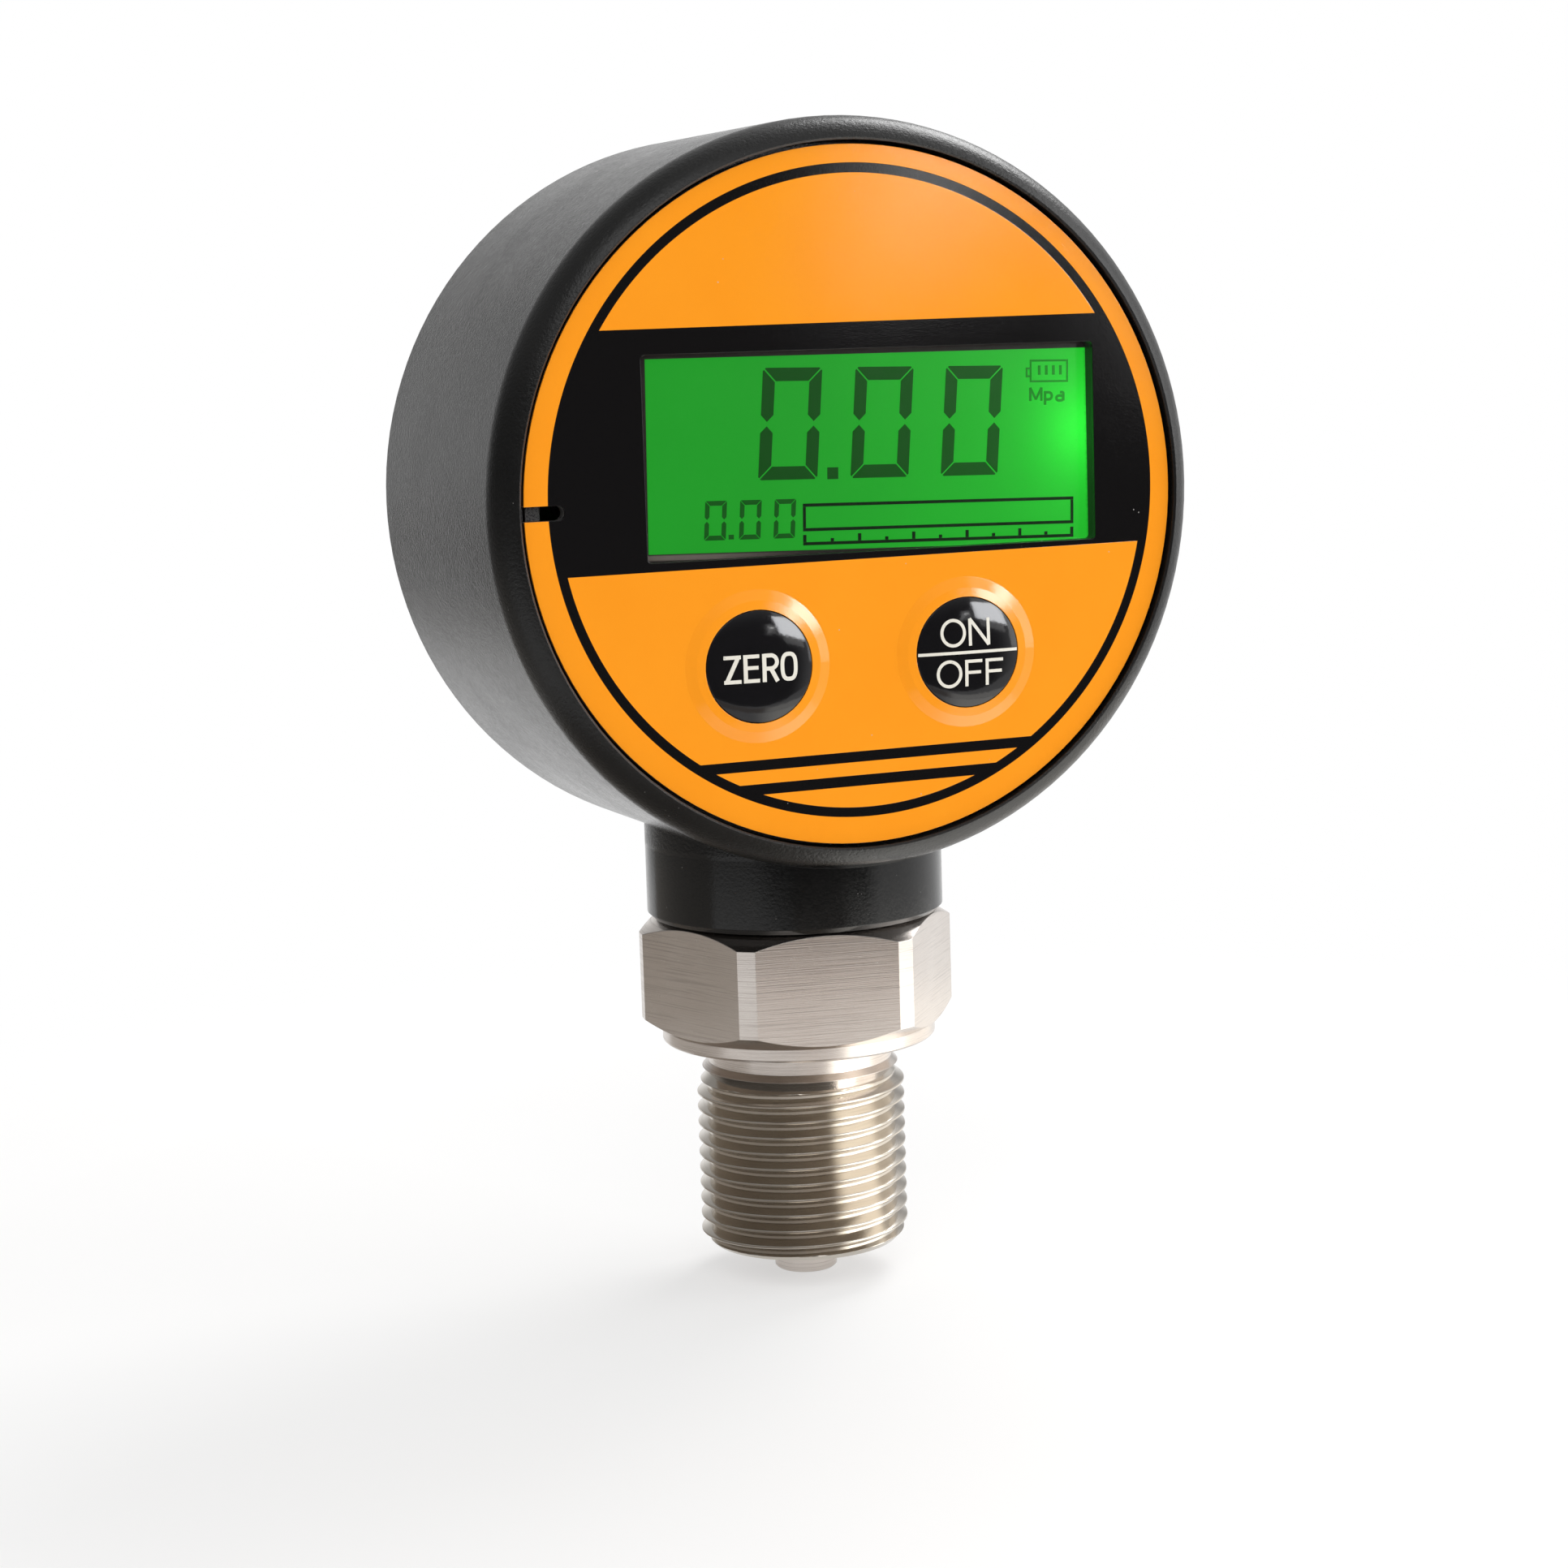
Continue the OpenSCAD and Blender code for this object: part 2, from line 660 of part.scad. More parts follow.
// Body of a push switch on the front of the board, with a well for its plunger
module switch_body(x) {
  color([0.2, 0.2, 0.22]) on_dial() translate([x, -key_y, 0]) difference() {
    slab(switch_w, switch_w, board_face, switch_face);
    translate([0, 0, switch_face - plunger_well - play])
      cylinder(d = plunger_d + 2 * key_gap, h = plunger_well + play + cut, $fn = 48);
  }
}

module zero_switch() { switch_body(-key_x); }

module power_switch() { switch_body(key_x); }

// Key: a cap with a low crown, a flange behind the plate and a stem that rests on the switch's plunger
module key_cap(x) {
  r = key_d / 2;
  crown_r = (r * r + key_crown * key_crown) / (2 * key_crown);
  flange_top = plate_back - play;
  color([0.06, 0.06, 0.06]) on_dial() translate([x, -key_y, 0]) rotate_extrude() polygon(concat(
    [
      [0, plunger_top], [stem_d / 2, plunger_top], [stem_d / 2, flange_top - flange_t],
      [r + key_lip, flange_top - flange_t], [r + key_lip, flange_top], [r, flange_top]
    ],
    [for (i = [0:arc_steps]) let (a = asin(r / crown_r) * (1 - i / arc_steps))
      [crown_r * sin(a), key_face + key_crown - crown_r * (1 - cos(a))]]
  ));
}

module zero_key() { key_cap(-key_x); }

module power_key() { key_cap(key_x); }

module plunger(x) {
  color("dimgray") on_dial() translate([x, -key_y, plunger_low])
    cylinder(d = plunger_d, h = plunger_top - plunger_low, $fn = 48);
}

module zero_plunger() { plunger(-key_x); }

module power_plunger() { plunger(key_x); }

// Battery holder behind the board: two round-bottomed bays, open to the back, with finger notches
module battery_holder() {
  low = holder_top - holder_depth;
  foot_w = 3 * holder_wall;
  color([0.16, 0.16, 0.16]) on_dial() translate([0, holder_y, 0]) difference() {
    slab(holder_w, holder_h, low, board_back);
    for (s = [-1, 1]) translate([0, s * cell_pitch / 2, 0]) {
      slab(bay_len, bay_w, low - cut, cell_axis);
      translate([-bay_len / 2, 0, cell_axis]) rotate([0, 90, 0]) cylinder(d = bay_w, h = bay_len);
    }
    translate([0, 0, low]) rotate([90, 0, 0]) translate([0, 0, -holder_h / 2 - cut])
      cylinder(r = finger_r, h = holder_h + 2 * cut);
    slab(holder_w - 2 * foot_w, holder_h - 2 * foot_w, holder_top, board_back + cut);
  }
}

// Places of the two cells, the lower one turned end for end
module at_cell(side) {
  on_dial() translate([0, holder_y + side * cell_pitch / 2, cell_axis])
    rotate([0, 0, side > 0 ? 0 : 180]) children();
}

// Bent sheet contacts at the cells' flat ends: a backing plate and a bowed blade
module spring_contacts() {
  bow = spring_room - cell_gap - edge_break;
  bow_r = (bow * bow + blade_w * blade_w / 4) / (2 * bow);
  color("silver") for (side = [-1, 1]) at_cell(side) translate([-bay_len / 2, 0, 0]) {
    translate([0, -blade_w / 2, -blade_w / 2]) cube([contact_t, blade_w, blade_w]);
    intersection() {
      translate([contact_t - edge_break, -blade_w / 4, -blade_w / 2])
        cube([bow + edge_break, blade_w / 2, blade_w]);
      translate([contact_t + bow - bow_r, 0, 0]) rotate([90, 0, 0])
        ring(bow_r, bow_r - contact_t, -blade_w / 2, blade_w / 2);
    }
  }
}

// Plates that meet the cells' caps
module plate_contacts() {
  color("silver") for (side = [-1, 1]) at_cell(side)
    translate([bay_len / 2 - contact_t, -blade_w / 2, -blade_w / 2]) cube([contact_t, blade_w, blade_w]);
}

// Cell lying along x, with its cap towards the plate contact
module cell(side) {
  far = bay_len / 2 - contact_t - cell_gap;
  body_len = cell_len - cap_h;
  at_cell(side) rotate([0, 90, 0]) {
    translate([0, 0, far - cell_len]) cylinder(d = cell_d, h = body_len);
    translate([0, 0, far - cap_h - edge_break]) cylinder(d = cap_d, h = cap_h + edge_break, $fn = 48);
  }
}

module upper_cell() { color("steelblue") cell(1); }

module lower_cell() { color("steelblue") cell(-1); }

fitting();
sensor_capsule();
capsule_seal();
clamp_ring();
neck_seal();
case_shell();
ring_nut();
sensor_lead();
lead_plug();
front_plate();
face_film();
window_pane();
display_frame();
display_glass();
light_guide();
light_source();
contact_strip();
circuit_board();
board_screws();
board_chips();
plug_socket();
zero_switch();
power_switch();
zero_key();
power_key();
zero_plunger();
power_plunger();
battery_holder();
spring_contacts();
plate_contacts();
upper_cell();
lower_cell();
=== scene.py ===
import math

import bmesh
import bpy
import numpy as np
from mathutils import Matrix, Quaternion, Vector


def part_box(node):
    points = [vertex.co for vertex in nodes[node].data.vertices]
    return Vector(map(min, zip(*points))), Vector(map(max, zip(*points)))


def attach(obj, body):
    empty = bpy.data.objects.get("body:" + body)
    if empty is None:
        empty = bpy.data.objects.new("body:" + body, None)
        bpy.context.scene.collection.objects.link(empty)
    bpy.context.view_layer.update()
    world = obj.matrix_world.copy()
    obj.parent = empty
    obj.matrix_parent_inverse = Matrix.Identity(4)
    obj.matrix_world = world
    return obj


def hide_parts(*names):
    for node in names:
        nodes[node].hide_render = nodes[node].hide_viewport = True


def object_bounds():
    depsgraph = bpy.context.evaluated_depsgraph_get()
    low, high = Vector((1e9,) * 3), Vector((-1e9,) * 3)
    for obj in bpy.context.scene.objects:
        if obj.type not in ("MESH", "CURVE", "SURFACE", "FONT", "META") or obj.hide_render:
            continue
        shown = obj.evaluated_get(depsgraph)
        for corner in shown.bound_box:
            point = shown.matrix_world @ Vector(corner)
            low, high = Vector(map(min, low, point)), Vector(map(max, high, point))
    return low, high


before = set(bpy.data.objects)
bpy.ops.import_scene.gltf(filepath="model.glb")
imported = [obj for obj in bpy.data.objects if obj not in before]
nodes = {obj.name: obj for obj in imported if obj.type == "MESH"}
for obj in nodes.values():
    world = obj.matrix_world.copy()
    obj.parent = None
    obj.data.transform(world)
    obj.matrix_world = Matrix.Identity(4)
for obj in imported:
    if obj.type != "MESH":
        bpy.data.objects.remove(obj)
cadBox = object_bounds()
mm = 0.001
print("frame loaded:", len(nodes), "nodes")


def middleOf(name):
    # the middle of a node's box as the reader sees it, (x, z) in mm
    low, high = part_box(name)
    return round((low.x + high.x) / 2 / mm, 2), round((low.z + high.z) / 2 / mm, 2)


dialHeight = middleOf("front_plate")[1]
keyMiddles = {"zero": middleOf("zero_key"), "power": middleOf("power_key")}


class Wire:
    # a socket of a shader tree; each sum written on it adds the Math node that it needs
    def __init__(self, finish, socket):
        self.finish = finish
        self.socket = socket

    def run(self, operation, *values):
        return self.finish.add("Math", {"operation": operation}, dict(enumerate(values)))

    def __add__(self, other):
        return self.run("ADD", self, other)

    def __sub__(self, other):
        return self.run("SUBTRACT", self, other)

    def __rsub__(self, other):
        return self.run("SUBTRACT", other, self)

    def __mul__(self, other):
        return self.run("MULTIPLY", self, other)

    def __truediv__(self, other):
        return self.run("DIVIDE", self, other)

    def __rtruediv__(self, other):
        return self.run("DIVIDE", other, self)

    def __pow__(self, other):
        return self.run("POWER", self, other)

    def __abs__(self):
        return self.run("ABSOLUTE", self)

    __radd__ = __add__
    __rmul__ = __mul__

    def fraction(self):
        return self.run("FRACT", self)

    def hypot(self, other):
        return (self * self + other * other) ** 0.5

    def larger(self, other):
        return self.run("MAXIMUM", self, other)

    def above(self, edge, soft=0.03):
        # 0 under the edge, 1 over it, eased over a soft width
        return self.finish.add("MapRange", {"interpolation_type": "SMOOTHSTEP"},
                               {0: self, 1: edge - soft / 2, 2: edge + soft / 2})

    def below(self, edge, soft=0.03):
        return 1 - self.above(edge, soft)

    def between(self, low, high, soft=0.03):
        return self.above(low, soft) * self.below(high, soft)


class Finish:
    # one material, or the world's tree, built node by node
    def __init__(self, name, owner=None):
        self.owner = owner or bpy.data.materials.new(name)
        self.owner.use_nodes = True
        self.tree = self.owner.node_tree
        self.tree.nodes.clear()

    def add(self, kind, settings=None, inputs=None, output=0):
        # a node of any type; an input is a wire, a number, a vector or the three parts of a colour
        node = self.tree.nodes.new("ShaderNode" + kind)
        for name, value in (settings or {}).items():
            setattr(node, name, value)
        for name, value in (inputs or {}).items():
            socket = node.inputs[name]
            if isinstance(value, Wire):
                self.tree.links.new(value.socket, socket)
            else:
                socket.default_value = (*value, 1.0) if socket.type == "RGBA" else value
        return Wire(self, node.outputs[output])

    def place(self, centre=(0, 0, 0), turn=0.0):
        # the piece's own coordinates in mm from a centre, turned about the reader's axis
        spot = self.add("TexCoord", output="Object")
        return self.add("Mapping", {"vector_type": "TEXTURE"},
                        {"Vector": spot, "Location": tuple(c * mm for c in centre),
                         "Rotation": (0, -math.radians(turn), 0), "Scale": (mm, mm, mm)})

    def split(self, vector):
        first = self.add("SeparateXYZ", None, {0: vector})
        return [Wire(self, socket) for socket in first.socket.node.outputs]

    def join(self, x, y, z):
        return self.add("CombineXYZ", None, {0: x, 1: y, 2: z})

    def scaled(self, vector, by):
        return self.add("VectorMath", {"operation": "MULTIPLY"}, {0: vector, 1: by})

    def noise(self, vector, scale, detail=2.0, rough=0.5):
        return self.add("TexNoise", None, {"Vector": vector, "Scale": scale,
                                           "Detail": detail, "Roughness": rough})

    def cells(self, vector, scale):
        return self.add("TexVoronoi", None, {"Vector": vector, "Scale": scale}, "Distance")

    def mix(self, share, one, two, kind="MIX"):
        return self.add("Mix", {"data_type": "RGBA", "blend_type": kind}, {0: share, 6: one, 7: two}, 2)

    def dimmed(self, colour, level):
        return self.mix(1.0, colour, self.join(level, level, level), "MULTIPLY")

    def bump(self, height, depth, soften=None):
        # height 0 to 1 stands depth mm proud; soften rounds sharp edges by that many mm
        inputs = {"Height": height, "Distance": depth * mm, "Strength": 1.0}
        if soften:
            inputs["Normal"] = self.add("Bevel", {"samples": 6}, {"Radius": soften * mm})
        return self.add("Bump", None, inputs)

    def emission(self, colour):
        return self.add("Emission", None, {"Color": colour, "Strength": 1.0})

    def blend(self, share, one, two):
        return self.add("MixShader", None, {0: share, 1: one, 2: two})

    def rays(self):
        # 1 where a camera's, a mirror's or a glass's ray asks
        path = self.add("LightPath")
        return [Wire(self, path.socket.node.outputs[name]) for name in
                ("Is Camera Ray", "Is Glossy Ray", "Is Transmission Ray")]

    def surface(self, inputs):
        return self.show(self.add("BsdfPrincipled", None, inputs))

    def show(self, shader, end="OutputMaterial"):
        last = self.tree.nodes.new("ShaderNode" + end)
        self.tree.links.new(shader.socket, last.inputs["Surface"])
        return self


def dress(finish, *names):
    # gives the named CAD nodes this finish
    for name in names:
        for slot in nodes[name].material_slots:
            slot.material = finish.owner


# moulded black plastic; the scales of grain, clouds and dust are in features per mm
caseLook = {"dark": (0.0048, 0.0047, 0.0046), "light": (0.0085, 0.0083, 0.0080), "ior": 1.40,
            "grain": 3.4, "cloud": 0.12, "mottle": 1.1, "speck": 1.1, "patch": 0.9,
            "rough": 0.20, "rimMore": 0.12, "neckLess": 0.06, "clouds": 0.14, "grainGloss": 0.22,
            "relief": 0.045, "neckSmooth": 0.8, "soften": 0.12, "rimFront": -16.5, "neckTop": 19.3,
            "dust": 0.05, "dustTone": (0.30, 0.29, 0.27), "dustShare": 0.5, "dustRough": 0.2}
# the slot entries place and tone the painted light on the pry slot's walls
plateLook = dict(caseLook, dark=(0.006, 0.006, 0.0062), light=(0.010, 0.010, 0.0102), ior=1.46, grain=7.0,
                 rough=0.36, rimMore=0.0, neckLess=0.0, clouds=0.10, relief=0.012, dust=0.03, soften=0.08,
                 slot=(-27.0, dialHeight, 0.72), scuff=(0.16, 0.155, 0.15), scuffShare=0.8)


def mouldedBlack(name, look):
    # the tool's fine grain, clouds and mottle in the gloss, and a few specks of dust
    f = Finish(name)
    spot = f.place()
    x, y, z = f.split(spot)
    grain = f.noise(spot, look["grain"], 3, 0.6)
    cloud = f.noise(spot, look["cloud"], 3)
    mottle = f.noise(spot, look["mottle"], 4, 0.65)
    dust = f.cells(spot, look["speck"]).below(look["dust"], 0.03)
    dust = dust * f.noise(spot, look["patch"]).above(0.56, 0.05)
    colour = f.mix(cloud, look["dark"], look["light"])
    colour = f.mix(dust * look["dustShare"], colour, look["dustTone"])
    if "slot" in look:
        # painted light: the pry slot's walls are painted pale, where light falls into the slot
        end, middle, half = look["slot"]
        wearAndSlotLight = x.below(end, 0.3) * z.between(middle - half, middle + half, 0.05) * grain.above(0.45, 0.15)
        colour = f.mix(wearAndSlotLight * look["scuffShare"], colour, look["scuff"])
    rim = y.below(look["rimFront"], 1.0)
    neck = z.below(look["neckTop"], 0.6)
    rough = look["rough"] + look["rimMore"] * rim * (1 - neck) - look["neckLess"] * neck
    rough = rough + look["clouds"] * (cloud + mottle - 1)
    rough = rough + look["grainGloss"] * (grain - 0.5) + look["dustRough"] * dust
    height = grain * (1 - look["neckSmooth"] * neck)
    return f.surface({"Base Color": colour, "Roughness": rough, "IOR": look["ior"],
                      "Normal": f.bump(height, look["relief"], look["soften"])})


dress(mouldedBlack("caseBlack", caseLook), "case_shell")
dress(mouldedBlack("innerBlack", plateLook), "front_plate", "display_frame", "battery_holder", "plug_socket")

# turned stainless steel; a stretch says how many features a mm there are along x, y and z
steelLook = {"warm": (0.58, 0.52, 0.475), "pale": (0.68, 0.635, 0.595), "deep": (0.34, 0.30, 0.275),
             "lineStretch": (0.05, 0.05, 4.0), "hairStretch": (0.10, 0.10, 10.0), "hairEdge": (0.585, 0.07),
             "cloud": 0.16, "nickStretch": (1.0, 1.0, 3.0), "nick": 0.9, "nickEdge": (0.68, 0.05),
             "lines": 0.34, "nicks": 0.15, "rough": 0.22, "relief": 0.006, "soften": 0.10}
threadSteelLook = dict(steelLook, warm=(0.50, 0.455, 0.40), pale=(0.60, 0.56, 0.50),
                       deep=(0.26, 0.23, 0.195), lines=0.1, rough=0.15, relief=0.001, soften=0.03)
capsuleLook = dict(steelLook, rough=0.2)


def turnedSteel(name, look):
    # lathe lines and hair lines run level round it, with slow clouds and a few nicks over them
    f = Finish(name)
    spot = f.place()
    lines = f.noise(f.scaled(spot, look["lineStretch"]), 1.0, 3, 0.6)
    hair = f.noise(f.scaled(spot, look["hairStretch"]), 1.0, 3, 0.6)
    cloud = f.noise(spot, look["cloud"], 3)
    nicks = f.noise(f.scaled(spot, look["nickStretch"]), look["nick"], 4, 0.75).above(*look["nickEdge"])
    deep = hair.above(*look["hairEdge"]) * look["lines"] + nicks * look["nicks"]
    colour = f.mix(deep, f.mix(cloud, look["warm"], look["pale"]), look["deep"])
    rough = look["rough"] + 0.10 * (lines - 0.5) + 0.12 * (hair - 0.5) + 0.08 * nicks
    height = lines * 0.3 + hair * 0.7
    return f.surface({"Base Color": colour, "Metallic": 1.0, "Roughness": rough, "Anisotropic": 0.5,
                      "Normal": f.bump(height, look["relief"], look["soften"])})


stainless = turnedSteel("stainless", steelLook)
threadSteel = turnedSteel("threadSteel", threadSteelLook)
dress(turnedSteel("capsuleSteel", capsuleLook), "sensor_capsule", "clamp_ring")

# plated and pressed metals: two tones, the roughness and the nodes that have them
metals = {"nutBrass": ((0.62, 0.42, 0.16), (0.75, 0.55, 0.24), 0.3, ("ring_nut",)),
          "screwZinc": ((0.55, 0.55, 0.56), (0.70, 0.70, 0.70), 0.3, ("board_screws",)),
          "contactMetal": ((0.62, 0.58, 0.50), (0.78, 0.74, 0.66), 0.25,
                           ("spring_contacts", "plate_contacts"))}


def plainMetal(name, warm, pale, rough):
    # a fine drawn grain and clouded gloss
    f = Finish(name)
    spot = f.place()
    grain = f.noise(f.scaled(spot, (1.5, 8.0, 1.5)), 1.0, 3)
    cloud = f.noise(spot, 0.4, 2)
    return f.surface({"Base Color": f.mix(cloud, warm, pale), "Metallic": 1.0,
                      "Roughness": rough + 0.2 * (cloud - 0.5) + 0.1 * (grain - 0.5),
                      "Normal": f.bump(grain, 0.006, 0.04)})


for name, (warm, pale, rough, wearers) in metals.items():
    dress(plainMetal(name, warm, pale, rough), *wearers)

# small mouldings: two tones, roughness, relief in mm and the nodes that have them
plastics = {"sealRubber": ((0.012, 0.012, 0.012), (0.02, 0.02, 0.02), 0.6, 0.01,
                           ("capsule_seal", "neck_seal")),
            "plugIvory": ((0.66, 0.61, 0.50), (0.74, 0.70, 0.60), 0.4, 0.01, ("lead_plug",)),
            "lampWhite": ((0.78, 0.78, 0.72), (0.88, 0.88, 0.80), 0.3, 0.01, ("light_source",)),
            "chipBlack": ((0.012, 0.012, 0.013), (0.022, 0.022, 0.024), 0.42, 0.015, ("board_chips",)),
            "plungerBlack": ((0.01, 0.01, 0.01), (0.016, 0.016, 0.016), 0.4, 0.01,
                             ("zero_plunger", "power_plunger"))}


def plainPlastic(name, dark, light, rough, relief=0.01):
    # even colour with faint flow clouds and a fine grain
    f = Finish(name)
    spot = f.place()
    grain = f.noise(spot, 6.0, 3)
    cloud = f.noise(spot, 0.3, 3)
    return f.surface({"Base Color": f.mix(cloud, dark, light), "Roughness": rough + 0.15 * (cloud - 0.5),
                      "IOR": 1.48, "Normal": f.bump(grain, relief, 0.05)})


for name, (dark, light, rough, relief, wearers) in plastics.items():
    dress(plainPlastic(name, dark, light, rough, relief), *wearers)
print("metal and plastic finishes made")

# the printed film: orange, a black ring, a black band round the window and two black stripes; in mm
filmPrint = {"centre": (0.156, 0.0, 52.388), "turn": 0.393, "ring": (27.99, 28.86),
             "band": (-5.76, 15.10), "stripes": ((-23.88, -22.93), (-26.04, -25.07)),
             "orange": (1.0, 0.345, 0.016), "deepOrange": (0.97, 0.315, 0.013),
             "black": (0.0045, 0.0040, 0.0042), "dustTone": (0.5, 0.48, 0.45), "rough": 0.045,
             "relief": 0.012, "soften": 0.06}


def filmFinish(look):
    # the ink lies a touch lower than the orange; the gloss is nearly a mirror's, a little wavy and dusty
    f = Finish("filmOrange")
    spot = f.place(look["centre"], look["turn"])
    u, depth, v = f.split(spot)
    radius = u.hypot(v)
    inside = radius.below(sum(look["ring"]) / 2)
    ink = radius.between(*look["ring"])
    for low, high in (look["band"],) + look["stripes"]:
        ink = ink.larger(v.between(low, high) * inside)
    cloud = f.noise(spot, 0.15, 3)
    fine = f.noise(spot, 9.0, 3)
    dust = f.cells(spot, 0.55).below(0.035, 0.02) * f.noise(spot, 0.45).above(0.55, 0.04)
    colour = f.mix(ink, f.mix(cloud, look["deepOrange"], look["orange"]), look["black"])
    colour = f.mix(dust * 0.6, colour, look["dustTone"])
    rough = look["rough"] + 0.04 * (cloud - 0.5) + 0.03 * (fine - 0.5) + 0.25 * dust
    height = fine * 0.3 + (1 - ink) * 0.2 + f.noise(spot, 0.22, 1) * 0.5
    return f.surface({"Base Color": colour, "Roughness": rough, "IOR": 1.5,
                      "Normal": f.bump(height, look["relief"], look["soften"])})


dress(filmFinish(filmPrint), "face_film")

keyLook = {"dark": (0.0045, 0.0042, 0.005), "light": (0.007, 0.0065, 0.0075), "rough": 0.07,
           "radius": 5.9, "dome": 0.45, "grain": 0.004, "soften": 0.1}


def keyFinish(name, look, middle):
    # glossy key: its face swells a little more towards the edge, by the fourth power of the radius
    f = Finish(name)
    spot = f.place()
    x, y, z = f.split(spot)
    away = (x - middle[0]).hypot(z - middle[1])
    fine = f.noise(spot, 3.0, 3)
    cloud = f.noise(spot, 0.5, 2)
    height = 1 - (away / look["radius"]) ** 4 + fine * look["grain"]
    return f.surface({"Base Color": f.mix(cloud, look["dark"], look["light"]), "IOR": 1.47,
                      "Roughness": look["rough"] + 0.04 * (fine - 0.5),
                      "Normal": f.bump(height, look["dome"], look["soften"])})


for side, middle in keyMiddles.items():
    dress(keyFinish(side + "KeyBlack", keyLook, middle), side + "_key")

# the lit display: green, brighter to the right, with a hot spot where the lamp shines in; an edge of the
# lit field is its place in mm and its slope
# one tone paints a highlight under the lit field's low edge, at its left
displayLook = {"centre": (1.7, 0.0, 56.2), "green": (0.0100, 0.315, 0.0165),
               "right": (0.012, 0.42, 0.02), "rightward": (4.0, 34.0), "hot": (0.03, 1.0, 0.05),
               "lamp": (21.0, 1.2), "glow": 4.6, "leftEdge": (-20.86, 0.018), "topEdge": (8.48, -0.0047),
               "lowEdge": (-8.77, -0.0239), "rightEdge": 21.9, "border": (0.030, 0.024, 0.022),
               "lowEdgeHighlight": (0.20, 0.17, 0.15), "unlit": 0.004, "unlitGreen": 0.02, "grit": 0.06}


def litFinish(name, look, shade):
    # shade is the share of the light that a mark lets through; 1 is the bare ground
    f = Finish(name)
    spot = f.place(look["centre"])
    u, depth, v = f.split(spot)
    across = u - look["lamp"][0]
    up = (v - look["lamp"][1]) * 0.85
    glow = 1 / (1 + (across * across + up * up) / look["glow"] ** 2) ** 1.6
    colour = f.mix(u.above(*look["rightward"]), look["green"], look["right"])
    colour = f.mix(glow, colour, look["hot"])
    fine = f.noise(spot, 5.0, 3)
    cloud = f.noise(spot, 0.2, 2)
    lit = f.dimmed(colour, shade * (1 + look["grit"] * (fine - 0.5) + 0.06 * (cloud - 0.5)))
    base = (look["unlit"], look["unlitGreen"] * shade, look["unlit"])
    if shade == 1:
        lit, base = litField(f, look, spot, lit, base)
    return f.surface({"Base Color": base, "Roughness": 0.16 + 0.06 * fine, "Specular IOR Level": 0.25,
                      "Emission Color": lit, "Emission Strength": 1.0})


def litField(f, look, spot, lit, base):
    # the lit field's four edges are straight lines a little out of square, and the right one is ragged
    u, depth, v = f.split(spot)
    left, leftSlope = look["leftEdge"]
    top, topSlope = look["topEdge"]
    low, lowSlope = look["lowEdge"]
    under = v - lowSlope * u
    field = (u - leftSlope * v).above(left, 0.05) * (v - topSlope * u).below(top, 0.05)
    field = field * under.above(low, 0.05)
    ragged = (u + 0.55 * (f.noise(spot, 4.0, 4, 0.8) - 0.5)).below(look["rightEdge"] - 0.2, 0.7)
    dim = (0.03 + 0.97 * ragged) * u.below(look["rightEdge"] + 0.3, 0.1)
    # painted highlight: a pale strip under the low edge of the lit field, fading out towards the right
    lowEdgeHighlight = under.between(low - 0.55, low - 0.10, 0.15) * u.below(-11.0, 14.0)
    border = f.mix(lowEdgeHighlight, look["border"], look["lowEdgeHighlight"])
    border = f.mix(u.above(look["rightEdge"], 0.3), border, (look["unlit"],) * 3)
    return f.mix(field, (0, 0, 0), f.dimmed(lit, dim)), f.mix(field, border, base)


dress(litFinish("displayGreen", displayLook, 1.0), "display_glass")


def clearPane():
    # clear acrylic: seen straight through, with a mirror's gloss that grows towards the edge of view
    f = Finish("clearPane")
    smear = f.noise(f.place(), 0.35, 3)
    gloss = f.add("BsdfGlossy", None, {"Color": (1, 1, 1), "Roughness": 0.02 + 0.05 * smear})
    clear = f.add("BsdfTransparent", None, {"Color": (0.98, 0.99, 0.98)})
    outer = 1 - f.add("NewGeometry", output="Backfacing")
    return f.show(f.blend(f.add("Fresnel", None, {"IOR": 1.45}) * outer, clear, gloss))


def guideFinish():
    # clear moulding, faintly green and clouded
    f = Finish("guideClear")
    spot = f.place()
    return f.surface({"Base Color": f.mix(f.noise(spot, 0.6, 2), (0.86, 0.92, 0.86), (0.95, 0.97, 0.95)),
                      "Roughness": 0.12 + 0.1 * f.noise(spot, 3.0, 2), "IOR": 1.49,
                      "Transmission Weight": 0.6})


dress(clearPane(), "window_pane")
dress(guideFinish(), "light_guide")
print("face, keys and display finished")

stripLook = {"layer": 0.18, "grey": (0.30, 0.31, 0.33), "black": (0.02, 0.02, 0.02)}


def stripFinish(look):
    # zebra strip of the display: thin black carbon layers in grey rubber
    f = Finish("contactStrip")
    spot = f.place()
    x, y, z = f.split(spot)
    layer = (x / look["layer"]).fraction().between(0.25, 0.75, 0.1)
    return f.surface({"Base Color": f.mix(layer, look["grey"], look["black"]),
                      "Roughness": 0.55 + 0.1 * f.noise(spot, 4.0), "Normal": f.bump(layer, 0.01)})


dress(stripFinish(stripLook), "contact_strip")

boardLook = {"mask": (0.008, 0.075, 0.022), "track": (0.018, 0.15, 0.045), "tin": (0.62, 0.60, 0.56),
             "hole": (0.02, 0.02, 0.018), "edge": (0.42, 0.36, 0.20), "pitch": 2.54,
             "pad": 0.30, "bore": 0.16, "sides": (-11.36, -9.84), "relief": 0.03}


